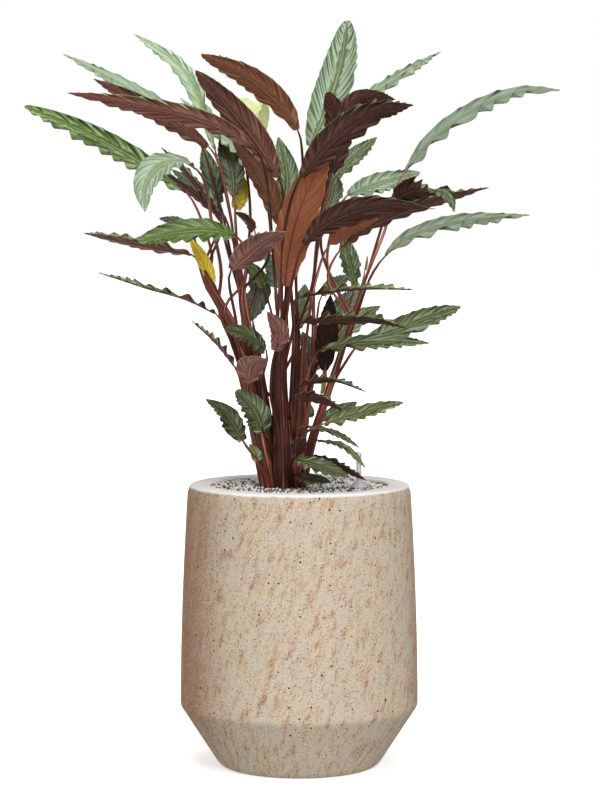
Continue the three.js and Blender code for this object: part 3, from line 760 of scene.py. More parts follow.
@dataclass(frozen=True)
class LeafSkin:
    """One face of a leaf: dark bands in the waves, partly painted shade and partly the leaf's own stripes,
    pale streaks that are partly veins and partly painted highlight, darker streaks, the midrib, the margin
    and a painted glow of light through the leaf.
    """

    name: str
    crest: str
    trough: str
    gleam: str
    warm: str
    midrib: str
    margin: str
    band: float = 0.85
    lines: float = 0.3
    roughness: float = 0.45
    gloss: float = 0.28
    painted_glow: float = 0.0
    streak_depth: float = 0.0007

    def material(self) -> bpy.types.Material:
        """Fills the leaf face's material in.

        Returns:
            The material.
        """
        paint = Paint(self.name, Roughness=self.roughness, Specular_IOR_Level=self.gloss,
                      # Painted light: an emission of the crest colour stands for light shining through the
                      # leaf
                      Emission_Color=colour(self.crest), Emission_Strength=self.painted_glow)
        across, row, tone, marks = (paint.read(name) for name in ("across", "row", "tone", "marks"))
        reach = paint.math("ABSOLUTE", across)
        vein = paint.read("vein")
        phase = paint.math("MULTIPLY", vein, TURN)
        valley = paint.fit(paint.math("COSINE", phase), -0.5, 0.5)
        along_vein = {0: paint.product(vein, 2.4), 1: paint.product(across, 0.8), 2: paint.product(tone, 9.0)}
        streak = paint.noise(paint.node("ShaderNodeCombineXYZ", along_vein).outputs[0], 1.0, 2, 0.45)
        cloud = paint.noise(paint.place, 30, 3, 0.6)
        # Painted shade: dark bands of the trough colour where each wave turns, wider towards the margin;
        # partly the leaf's own darker stripes
        starts = paint.ramp(reach, 0.05, 0.95, 1.02, 0.36)
        centred = paint.fit(streak, -1.1, 0.55)
        uneven = paint.product(centred, paint.ramp(reach, 0.0, 0.7, 0.2, 1.0))
        strong = paint.ramp(valley, paint.total(starts, uneven), 1.05)
        weak = paint.ramp(paint.math("SUBTRACT", 1.0, valley), paint.total(starts, uneven, 0.12), 1.08)
        shade = paint.math("MAXIMUM", strong, paint.product(weak, 0.8))
        warmth = paint.product(paint.ramp(cloud, 0.4, 0.68), 0.6)
        now = paint.blend(warmth, colour(self.crest), colour(self.warm))
        faded = paint.fit(marks, 0.7, 0.3)
        plain = paint.product(paint.ramp(row, 0.55, 1.0, 1.0, 0.3), faded)
        # Pale streaks of the gleam colour: partly pale veins, partly painted highlight
        light = paint.product(paint.ramp(streak, 0.5, 0.36), self.lines, plain, 1.6)
        now = paint.blend(light, now, colour(self.gleam))
        now = paint.blend(paint.product(shade, self.band, marks), now, colour(self.trough))
        away = paint.ramp(reach, 0.05, 0.5, 0.3, 1.0)
        dark = paint.product(paint.ramp(streak, 0.54, 0.68), self.lines, plain, away, 1.5)
        now = paint.blend(dark, now, colour(self.trough))
        now = paint.blend(paint.ramp(reach, 0.95, 1.0, 0.0, 0.7), now, colour(self.margin))
        rib = paint.product(paint.ramp(reach, 0.015, 0.06, 1.0, 0.0), paint.ramp(row, 0.1, 0.95, 1.0, 0.35))
        now = paint.blend(rib, now, colour(self.midrib))
        paint.relief(streak, self.streak_depth, 0.8)
        return paint.finish(paint.vector("SCALE", now, tone))


class Face(Enum):
    """The finishes of the leaves' two faces: six colours, then strengths, roughness, gloss and a painted glow
    for light shining through the leaf.
    """

    SILVER = LeafSkin("leaf_silver_top", "9aac94", "3c4e2a", "bccabe", "8fa270", "9fae58", "8ea070",
                      0.95, 0.25)
    GREEN = LeafSkin("leaf_green_top", "7f9064", "2a3a1a", "b2bca6", "7f9154", "a2ad5c", "8d9664",
                     0.95, 0.35)
    DEEP = LeafSkin("leaf_deep_top", "718a4c", "223808", "a6b88c", "6f8a3c", "9aad58", "8d9664",
                    0.95, 0.4)
    DARK = LeafSkin("leaf_dark_top", "5c6643", "222a10", "a6aa90", "667039", "868a58", "767650",
                    0.9, 0.35, 0.42, 0.35)
    LIME = LeafSkin("leaf_lime_top", "cdd69a", "9aa452", "e2e6bc", "c6cc80", "dde0ae", "c4cb9a",
                    0.75, 0.3, 0.4, 0.3, 0.28)
    YELLOW = LeafSkin("leaf_yellow_top", "c3a72c", "8d7c20", "d6c04a", "b5a022", "cbb94c", "b3a03c")
    PLUM = LeafSkin("leaf_plum_under", "6a453c", "2a1611", "8f7065", "6e463b", "7c5c52", "8a7858",
                    0.65, 0.25, 0.45, 0.06)
    MAUVE = LeafSkin("leaf_mauve_under", "875b53", "43261f", "b08880", "8a5b50", "a87d72", "a08a70",
                     0.75, 0.3, 0.45, 0.15)
    RUSSET = LeafSkin("leaf_russet_under", "82523a", "432618", "a07a60", "86563c", "8a664f", "94825a",
                      0.7, 0.25, 0.45, 0.15)
    COPPER = LeafSkin("leaf_copper_under", "97583b", "6a422e", "b98468", "9c5836", "40221a", "b98c6e",
                      0.25, 0.25, 0.48, 0.12, 0.1)
    EDGE = LeafSkin("leaf_margin", "85805a", "6c6848", "85805a", "85805a", "85805a", "85805a",
                    0.2, 0.1, 0.5)


class Tone(Enum):
    """How a leaf looks: its upper face, its underside and the record's slot."""

    SILVER = (Face.SILVER, Face.PLUM, "leaf_silver")
    GREEN = (Face.GREEN, Face.PLUM, "leaf_green")
    DEEP = (Face.DEEP, Face.PLUM, "leaf_green")
    DARK = (Face.DARK, Face.PLUM, "leaf_dark")
    LIME = (Face.LIME, Face.LIME, "leaf_lime")
    YELLOW = (Face.YELLOW, Face.YELLOW, "leaf_lime")
    PLUM = (Face.GREEN, Face.PLUM, "leaf_plum")
    MAUVE = (Face.GREEN, Face.MAUVE, "leaf_plum")
    RUSSET = (Face.GREEN, Face.RUSSET, "leaf_russet")
    COPPER = (Face.GREEN, Face.COPPER, "leaf_copper")


# How every blade is made, in millimetres and shares
BLADE_THICKNESS = 0.6
BLADE_START = 7.0
WIDEST_AT = 0.42
BASE_ROUNDNESS = 0.7
LONG_TIP = 0.85
TAIL_TIP = 1.6
FULL_TIP = 0.65
BLUNT_TIP = 0.5
FOLD = 0.18
WAVE_LIFT = 0.17
SCALLOP = 0.085
WAVES_ADDED = 7.5
WAVE_SPACING = 110.0
ROWS_PER_WAVE = 10
SWEEP_PER_WIDTH = 1.7
LONGEST_SWEEP = 0.32
SWEEP_POWER = 1.2
SWEEP_EASE = 0.4
TIP_GAP = 0.6
EDGE_AT_NECK = 1.6
EDGE_AT_TIP = 0.3
COLUMNS = (-1.0, -0.93, -0.82, -0.68, -0.53, -0.38, -0.24, -0.12, -0.05,
           0.0, 0.05, 0.12, 0.24, 0.38, 0.53, 0.68, 0.82, 0.93, 1.0)

# Where a stalk leaves the sheaths
ASIDE_COST = 1.5
ROOT_DROP = 20.0
ROOT_SHARES = (0.02, 0.1, 0.25, 0.4, 0.55, 0.7, 0.85)


@dataclass(frozen=True)
class Sheath:
    """A wide sheath at the clump's foot: radii at its foot and its top, its path, and how light it is, partly
    its own tone and partly painted light and shade.
    """

    wide: float
    slim: float
    path: list[Point]
    light: float = 1.0

    def curve(self) -> SmoothCurve:
        """The sheath's middle line."""
        return SmoothCurve(self.path)


@dataclass(frozen=True)
class Leaf:
    """One leaf: blade width, where its top face looks, its tone, its stalk and its midrib.

    Then come how strongly its margins wave, where the face looks at the tip, how the tip tapers,
    how light it is, which is partly its own tone and partly painted light and shade, how strong its bands are
    and how many waves are added, or taken where below 0.
    """

    width: float
    face: Point
    tone: Tone
    stalk: list[Point]
    rib: list[Point]
    wave: float = 1.0
    tip_face: Optional[Point] = None
    taper: float = LONG_TIP
    light: float = 1.0
    marks: float = 1.0
    closer: float = 0.0

    def length(self) -> float:
        """The midrib's length."""
        return SmoothCurve(self.rib).length

    def waves(self) -> float:
        """How many waves each margin has."""
        return WAVES_ADDED + self.closer + self.length() / WAVE_SPACING

    def outline(self, along: np.ndarray) -> np.ndarray:
        """The blade's width from 0 at the neck to 1 at its widest and 0 at the tip.

        Args:
            along: Shares of the midrib's length.

        Returns:
            The width as a share of the widest.
        """
        opening = np.sin(np.clip(along / WIDEST_AT, 0, 1) * math.pi / 2) ** BASE_ROUNDNESS
        closing = np.cos(np.clip((along - WIDEST_AT) / (1 - WIDEST_AT), 0, 1) * math.pi / 2)
        return np.where(along < WIDEST_AT, opening, np.maximum(closing, 0) ** self.taper)

    def strip(self, name: str) -> bpy.types.Mesh:
        """Lays out the blade's flat grid along its midrib.

        The rows follow the side veins, which sweep forward from the midrib to the margin.

        Args:
            name: The mesh's name.

        Returns:
            A closed strip of two sheets whose vertices lie on the midrib, with what the blade
            tree needs stored at each of them.
        """
        curve = SmoothCurve(self.rib)
        rows = int(round(self.waves() * ROWS_PER_WAVE)) + 1
        share = np.linspace(0, 1, rows)[:, None]
        across = np.array(COLUMNS)[None, :]
        start = BLADE_START / curve.length
        most = min(LONGEST_SWEEP, SWEEP_PER_WIDTH * self.width / curve.length)
        sweep = most * np.abs(across) ** SWEEP_POWER * np.sin(math.pi * share) * (1 - SWEEP_EASE * share)
        along = start + (1 - start - TIP_GAP / curve.length) * np.clip(share + sweep, 0, 1)
        centre, ahead = curve.along(along.ravel())
        mix = along.ravel()[:, None]
        up = np.array(self.face) * (1 - mix) + np.array(self.tip_face or self.face) * mix
        up = up - np.sum(up * ahead, axis=1)[:, None] * ahead
        up /= np.linalg.norm(up, axis=1)[:, None]
        side = np.cross(ahead, up)
        swell = self.width / 2 * self.outline(along.ravel())
        swell = np.maximum(swell, EDGE_AT_NECK + (EDGE_AT_TIP - EDGE_AT_NECK) * along.ravel())
        wide = len(COLUMNS)
        order = np.arange(rows * wide).reshape(rows, wide)
        ring = np.hstack([order, order[:, ::-1]]).ravel()
        sheet = np.tile(np.repeat([1.0, -1.0], wide), rows)
        around = 2 * wide
        faces = []
        for row in range(rows - 1):
            low, high = row * around, (row + 1) * around
            for at in range(around):
                after = (at + 1) % around
                faces.append((low + at, low + after, high + after, high + at))
        last = (rows - 1) * around
        for at in range(wide - 1):
            faces.append((at, around - 1 - at, around - 2 - at, at + 1))
            faces.append((last + at, last + at + 1, last + around - 2 - at, last + around - 1 - at))
        mesh = mesh_from(name, centre[ring] * MM, faces)
        tag(mesh, "row", np.broadcast_to(share, (rows, wide)).ravel()[ring])
        tag(mesh, "across", np.broadcast_to(across, (rows, wide)).ravel()[ring])
        tag(mesh, "swell", swell[ring] * MM)
        tag(mesh, "up", up[ring])
        tag(mesh, "side", side[ring])
        tag(mesh, "sheet", sheet)
        return mesh


# The leaves, in the order of the solids
LEAVES = [
    # Upper left
    Leaf(36, (0, -0.9, 0.4), Tone.DEEP, [(-140, 15, 815), (-155, 20, 875)], [(-178, 30, 922),
         (-237, 45, 963), (-336, 70, 1019), (-450, 100, 1068)], 1.6, None, BLUNT_TIP, light=1.28),
    Leaf(60, (-0.2, -0.5, 0.8), Tone.SILVER, [(-125, -15, 800), (-140, -20, 880), (-150, -20, 940)],
         [(-160, -25, 960), (-185, -50, 975), (-220, -95, 965), (-240, -125, 935), (-240, -135, 895)], 0.6,
         (-0.3, -1, 0.3), light=1.25, marks=0.6),
    Leaf(34, (0.6, 0.35, 0.7), Tone.PLUM, [], [(-125, 25, 875), (-175, 45, 945), (-225, 70, 1000)]),
    Leaf(37, (-0.1, 0.75, 0.65), Tone.PLUM, [(-40, -25, 800), (-45, -30, 875), (-50, -40, 935)],
         [(-65, -60, 990), (-110, -80, 1020), (-170, -110, 1042), (-261, -145, 1061), (-356, -180, 1078)],
         1, light=1.9),
    Leaf(35, (-0.1, 0.75, 0.65), Tone.PLUM, [(-100, -5, 800), (-110, -10, 890), (-125, -15, 960)],
         [(-140, -20, 995), (-200, -30, 1035), (-260, -40, 1070), (-325, -60, 1105)], light=1.55),
    Leaf(40, (0.35, -0.5, 0.8), Tone.SILVER, [(-120, 25, 850), (-135, 35, 930)], [(-160, 45, 1005),
         (-205, 65, 1050), (-285, 95, 1100), (-390, 140, 1155)], 0.7, light=1.15, marks=0.45),
    Leaf(27, (-0.6, -0.6, 0.6), Tone.SILVER, [(-110, 35, 880)], [(-135, 50, 990), (-152, 70, 1050),
         (-191, 105, 1127), (-275, 160, 1190)], 0.8, light=1.7, marks=0.5),
    Leaf(36, (0.5, -0.6, 0.6), Tone.SILVER, [(-50, 45, 820)], [(-55, 60, 920), (-90, 80, 985),
         (-142, 110, 1032), (-197, 150, 1083)], light=1.5, marks=0.6),
    Leaf(52, (0.3, 0.85, 0.45), Tone.PLUM, [(-20, -5, 840)], [(-30, -5, 945), (-62, -15, 997),
         (-106, -35, 1053), (-163, -80, 1117)], 0.8, None, FULL_TIP, light=1.65),
    Leaf(42, (0.3, 0.75, 0.5), Tone.RUSSET, [], [(-30, 20, 870), (-55, 25, 935), (-110, 30, 1015)], 0.6,
         light=1.15),
    Leaf(46, (0.1, 0.75, 0.65), Tone.RUSSET, [(-5, -10, 810), (5, -20, 915), (5, -30, 985)],
         [(0, -40, 1020), (-24, -60, 1056), (-78, -110, 1102), (-151, -170, 1137)], 0.8, None, FULL_TIP,
         light=1.35),
    Leaf(50, (0, -0.85, 0.5), Tone.LIME, [(-80, 85, 890)], [(-90, 115, 995), (-92, 140, 1055),
         (-72, 165, 1075), (-58, 190, 1020)], 0.6, (0.3, 0.6, 0.7), light=0.95, marks=0.5),
    Leaf(38, (0.2, -0.85, 0.4), Tone.GREEN, [], [(-25, 60, 895), (-20, 110, 955), (-35, 170, 1020)], 1.3),
    Leaf(40, (0, -0.9, 0.4), Tone.DARK, [(-100, 35, 830)], [(-105, 45, 915), (-110, 75, 965),
         (-130, 120, 1020)], light=0.92),
    Leaf(31, (0, -0.9, 0.5), Tone.GREEN, [(-105, 55, 800)], [(-128, 85, 905), (-147, 140, 960),
         (-162, 200, 1005)], 1.3),
    # Left side, middle and low
    Leaf(38, (0, 0.5, 0.85), Tone.PLUM, [(-135, 10, 775)], [(-170, 20, 825), (-260, 60, 840),
         (-355, 110, 860)], 1.2, light=1.5),
    Leaf(46, (0, -0.75, 0.65), Tone.DEEP, [(-85, -50, 790)], [(-95, -75, 855), (-135, -95, 865),
         (-195, -120, 862), (-250, -145, 849)], 1.2, None, BLUNT_TIP, light=0.9, marks=0.7),
    Leaf(54, (-0.3, 0.8, 0.5), Tone.MAUVE, [(-100, -55, 720)], [(-110, -85, 800), (-80, -110, 825),
         (-50, -145, 850), (-20, -180, 865)], 0.9, light=1.42),
    Leaf(38, (0.2, 0.05, 1), Tone.GREEN, [(-100, -20, 660)], [(-130, -20, 730), (-180, -40, 755),
         (-245, -65, 775), (-315, -100, 800)], 1.1),
    Leaf(32, (0.7, 0.25, 0.7), Tone.GREEN, [(-85, -40, 595)], [(-100, -55, 645), (-130, -75, 685),
         (-170, -100, 725)], 1.6, light=1.3),
    Leaf(44, (0, -0.8, 0.5), Tone.DARK, [(-70, 55, 770)], [(-84, 100, 805), (-69, 140, 765),
         (-80, 180, 712)], light=0.8),
    Leaf(36, (0, -0.75, 0.65), Tone.DARK, [(-60, -50, 620)], [(-50, -60, 672), (-80, -82, 698),
         (-116, -105, 712)], 1.4, None, BLUNT_TIP, light=0.85),
    Leaf(30, (0, 0.9, 0.3), Tone.MAUVE, [(-45, -55, 600)], [(-40, -75, 670), (-30, -95, 705),
         (-50, -120, 740)], 0.7, light=1.1),
    Leaf(44, (0, 0.6, 0.8), Tone.MAUVE, [(-70, -50, 560)], [(-80, -80, 620), (-75, -125, 655),
         (-55, -175, 670)], 0.8, None, BLUNT_TIP, light=1.6),
    Leaf(42, (-0.1, -0.85, 0.5), Tone.DARK, [], [(-55, -60, 540), (-70, -85, 580), (-100, -110, 615)], 1.4,
         None, BLUNT_TIP, light=0.95),
    Leaf(34, (-0.4, -0.6, 0.6), Tone.DARK, [], [(-87, -40, 525), (-113, -60, 569), (-148, -85, 600)], 1.3,
         light=1.02),
    # Centre and upper right
    Leaf(62, (0.25, 0.9, 0.2), Tone.COPPER, [], [(-22, -45, 770), (-17, -50, 825), (0, -60, 895),
         (25, -75, 955), (50, -90, 1010)], 0.3, light=0.84),
    Leaf(62, (-0.25, -0.9, 0.2), Tone.SILVER, [(0, 40, 860)], [(15, 60, 995), (50, 85, 1075),
         (70, 110, 1145), (80, 140, 1210)], 0.4, None, BLUNT_TIP, light=1.2, closer=1.5),
    Leaf(53, (-0.1, 0.8, 0.6), Tone.PLUM, [(-30, -70, 810), (-15, -95, 905)], [(0, -105, 945),
         (51, -130, 1002), (112, -155, 1046), (175, -195, 1059)], 1.8, light=0.7),
    Leaf(42, (0, 0.9, 0.1), Tone.PLUM, [(20, -10, 775), (35, -20, 895)], [(50, -20, 950), (60, -25, 995),
         (60, -30, 1040), (45, -45, 1085)], 1.8, None, BLUNT_TIP, light=0.75),
    Leaf(36, (-0.4, -0.45, 0.8), Tone.SILVER, [(30, 35, 860)], [(75, 60, 1045), (131, 95, 1092),
         (181, 125, 1127), (235, 160, 1160)], 1.1, light=1.1, marks=0.5, closer=-1),
    Leaf(32, (-0.3, -0.7, 0.6), Tone.SILVER, [(110, 20, 795), (145, 30, 905)], [(167, 35, 953),
         (214, 50, 1011), (293, 80, 1066), (366, 105, 1092), (430, 130, 1095)], 0.8, None, FULL_TIP,
         light=0.8, marks=0.35, closer=-2.5),
    Leaf(42, (-0.1, -0.8, 0.6), Tone.SILVER, [(45, 30, 810)], [(75, 45, 920), (130, 85, 940),
         (200, 130, 960)], 1.4, None, FULL_TIP, light=1.3, marks=0.7),
    Leaf(33, (-0.3, -0.8, 0.4), Tone.GREEN, [(35, 5, 840)], [(55, 15, 945), (85, 40, 980), (127, 75, 1017)],
         1.1, light=0.9),
    Leaf(36, (0, -0.85, 0.5), Tone.GREEN, [(25, 50, 790)], [(40, 70, 890), (55, 130, 930), (50, 190, 970)],
         1.2, light=0.85),
    Leaf(44, (0, 0.9, 0.2), Tone.PLUM, [(105, -10, 785), (140, -15, 875)], [(145, -20, 905),
         (170, -60, 925), (205, -110, 930), (230, -145, 920), (240, -165, 895)], 1.6, (0.3, -0.9, 0.2),
         light=0.75),
    Leaf(48, (0, 0.8, 0.55), Tone.PLUM, [(-10, -75, 790)], [(5, -95, 840), (35, -120, 870), (90, -155, 896),
         (150, -190, 905), (208, -220, 900)], 1.1, None, TAIL_TIP, light=0.72),
    Leaf(34, (-0.1, 0.6, 0.8), Tone.PLUM, [(45, -35, 790)], [(65, -45, 835), (110, -50, 870),
         (180, -55, 900), (300, -65, 934)], 1.1, light=0.85),
    Leaf(32, (-0.1, -0.7, 0.7), Tone.SILVER, [(85, 10, 705), (115, 15, 790)], [(135, 20, 820),
         (172, 35, 851), (246, 60, 876), (380, 110, 890)], 0.85, marks=0.6, light=0.87, closer=-2),
    Leaf(30, (0, -0.85, 0.5), Tone.GREEN, [(60, 40, 690)], [(90, 70, 770), (85, 120, 810), (70, 180, 865)],
         1.8, light=0.93),
    # Right side, middle and low
    Leaf(38, (0, 0.15, 1), Tone.PLUM, [(-10, -60, 710)], [(-5, -85, 760), (55, -110, 770), (110, -135, 775),
         (180, -165, 775)], 1.3, light=1.2),
    Leaf(38, (0, 0.45, 0.9), Tone.PLUM, [(-10, -65, 670)], [(-5, -90, 720), (65, -120, 725),
         (125, -150, 725), (170, -175, 715)], 1.5, light=0.8),
    Leaf(44, (0.1, -0.65, 0.75), Tone.GREEN, [(70, 10, 645)], [(100, 20, 685), (165, 35, 705),
         (215, 55, 725), (265, 80, 740)], 1.2, None, FULL_TIP, light=0.82, closer=-1),
    Leaf(40, (0, -0.5, 0.85), Tone.GREEN, [(10, -40, 625)], [(30, -55, 675), (75, -75, 685),
         (145, -95, 690), (205, -120, 690)], 1.15, light=0.92, closer=-1),
    # Painted shade: this leaf deep in the middle of the clump is darkened to a fifth
    Leaf(36, (0, 0.9, 0.2), Tone.PLUM, [], [(40, -25, 635), (45, -35, 700), (50, -55, 765)], 0.5,
         light=0.2),
    Leaf(38, (0, -0.75, 0.6), Tone.SILVER, [], [(55, 80, 720), (80, 140, 745), (105, 210, 765)], light=0.9),
    Leaf(36, (0.1, -0.65, 0.7), Tone.GREEN, [], [(55, 50, 675), (90, 85, 715), (135, 125, 740)]),
    Leaf(32, (0, 0.35, 0.95), Tone.PLUM, [(-10, -60, 580)], [(-5, -85, 620), (50, -110, 630),
         (105, -140, 615)], 1.5, light=0.9),
    Leaf(36, (0, 0.6, 0.8), Tone.PLUM, [(-10, -60, 560)], [(-10, -80, 600), (30, -105, 600),
         (70, -130, 585)], 1.5, light=0.8),
    Leaf(40, (0, -0.5, 0.85), Tone.DARK, [], [(35, -30, 555), (90, -45, 571), (166, -70, 593)], 1.1, None,
         FULL_TIP, light=2.35, closer=-1),
    Leaf(36, (0.2, 0.55, 0.8), Tone.PLUM, [], [(17, -55, 505), (60, -85, 492), (106, -115, 474)],
         light=0.7),
    Leaf(36, (0.2, -0.65, 0.75), Tone.DARK, [], [(-10, -75, 505), (30, -105, 495), (80, -135, 480)], 1.3,
         light=1.15),
    Leaf(36, (0, -0.8, 0.6), Tone.DARK, [], [(15, 60, 620), (20, 120, 660), (5, 180, 695)], light=0.8),
]

# The small leaves deep in the clump
SMALL_LEAVES = [
    Leaf(30, (0.5, 0.5, 0.7), Tone.PLUM, [], [(-125, 5, 885), (-165, -20, 920), (-210, -50, 955)]),
    Leaf(32, (0.3, -0.7, 0.6), Tone.GREEN, [(-95, 55, 800)], [(-125, 60, 895), (-165, 85, 930),
         (-210, 110, 965)]),
    Leaf(26, (0.2, -0.8, 0.3), Tone.YELLOW, [], [(-105, 70, 893), (-96, 85, 924), (-91, 100, 955)],
         light=1.5),
    Leaf(22, (0, -0.6, 0.8), Tone.DARK, [], [(-180, 60, 870), (-205, 75, 880), (-230, 95, 885)]),
    Leaf(24, (0, 0.7, 0.7), Tone.PLUM, [], [(-70, 35, 860), (-85, 45, 880), (-105, 60, 895)]),
    Leaf(24, (0.5, -0.8, 0.1), Tone.YELLOW, [], [(-136, -10, 775), (-152, -15, 812), (-173, -20, 850)], 0.2,
         None, BLUNT_TIP, light=1.7),
    Leaf(28, (0.3, -0.7, 0.6), Tone.DEEP, [], [(-55, 55, 765), (-70, 50, 795), (-90, 45, 815)], light=1.2),
    Leaf(34, (0.3, -0.8, 0.5), Tone.SILVER, [], [(-40, 70, 765), (-40, 80, 795), (-55, 90, 830)]),
    Leaf(18, (0, -1, 0.2), Tone.GREEN, [], [(-65, -35, 490), (-70, -35, 510), (-80, -40, 525)]),
    Leaf(30, (-0.1, 0.8, 0.5), Tone.PLUM, [(30, -40, 960)], [(60, -60, 1035), (90, -75, 1070),
         (120, -95, 1075), (150, -120, 1070)]),
    Leaf(32, (0, 0.6, 0.7), Tone.COPPER, [(25, -40, 780)], [(45, -60, 840), (75, -80, 865),
         (125, -105, 885)]),
    Leaf(10, (1, -0.4, 0.2), Tone.YELLOW, [], [(105, 10, 795), (110, 10, 825)], 0, light=0.7),
    Leaf(30, (0, -0.7, 0.7), Tone.GREEN, [], [(35, 90, 755), (60, 135, 775), (80, 190, 790)]),
    Leaf(30, (0, -0.75, 0.6), Tone.GREEN, [], [(0, 70, 700), (5, 120, 740), (10, 180, 775)]),
    Leaf(14, (0.8, -0.6, 0), Tone.YELLOW, [], [(35, 15, 595), (40, 10, 630), (40, 10, 665)], 0.2, light=1),
    Leaf(30, (0, -0.6, 0.7), Tone.GREEN, [], [(35, 10, 555), (65, 35, 570), (95, 65, 585)], light=0.8),
    Leaf(26, (0.3, -0.25, 0.9), Tone.GREEN, [], [(5, -60, 555), (55, -85, 545), (95, -110, 525)],
         light=0.8),
    Leaf(22, (0.3, -0.3, 0.9), Tone.GREEN, [], [(25, -45, 531), (70, -65, 522), (106, -85, 490)],
         light=1.3),
    Leaf(32, (0.1, -0.6, 0.8), Tone.DARK, [], [(-5, -45, 475), (20, -80, 470), (50, -115, 470)]),
    Leaf(26, (0, 0.9, 0.3), Tone.PLUM, [], [(-5, -45, 505), (0, -70, 525), (10, -90, 540)], light=0.8),
    Leaf(20, (0, -0.9, 0.4), Tone.GREEN, [], [(15, 35, 555), (15, 45, 570), (15, 55, 585)]),
]

# The sheaths at the clump's foot; their lightness is partly painted light and shade, darker for the front
# middle one and lighter for the left and right ones
SHEATHS = [
    Sheath(16, 5, [(-42, -12, 435), (-59, -17, 510), (-78, -15, 605), (-100, -12, 695), (-145, -14, 780),
         (-166, -14, 828)], 1.35),
    Sheath(13, 5, [(-42, 13, 435), (-60, 20, 550), (-85, 25, 710), (-97, 28, 800)], 1.2),
    Sheath(14, 4, [(-36, 0, 435), (-50, -4, 550), (-76, -8, 730)], 1.05),
    Sheath(17.5, 8, [(-24, -21, 435), (-27, -31, 530), (-31, -38, 630), (-21, -44, 766)], 0.55),
    Sheath(12, 5, [(-25, 20, 435), (-30, 28, 590), (-34, 42, 730)], 1.1),
    Sheath(15, 6, [(-5, -14, 435), (0, -22, 550), (8, -26, 700)], 1.1),
    Sheath(8, 3, [(-1, 2, 435), (22, 2, 530), (67, 8, 665), (95, 10, 760)], 1.5),
    Sheath(10, 5, [(-8, 17, 435), (6, 27, 550), (28, 36, 670)], 1.3),
    Sheath(13, 5, [(-14, 4, 435), (-9, 2, 570), (-4, 2, 740)]),
]


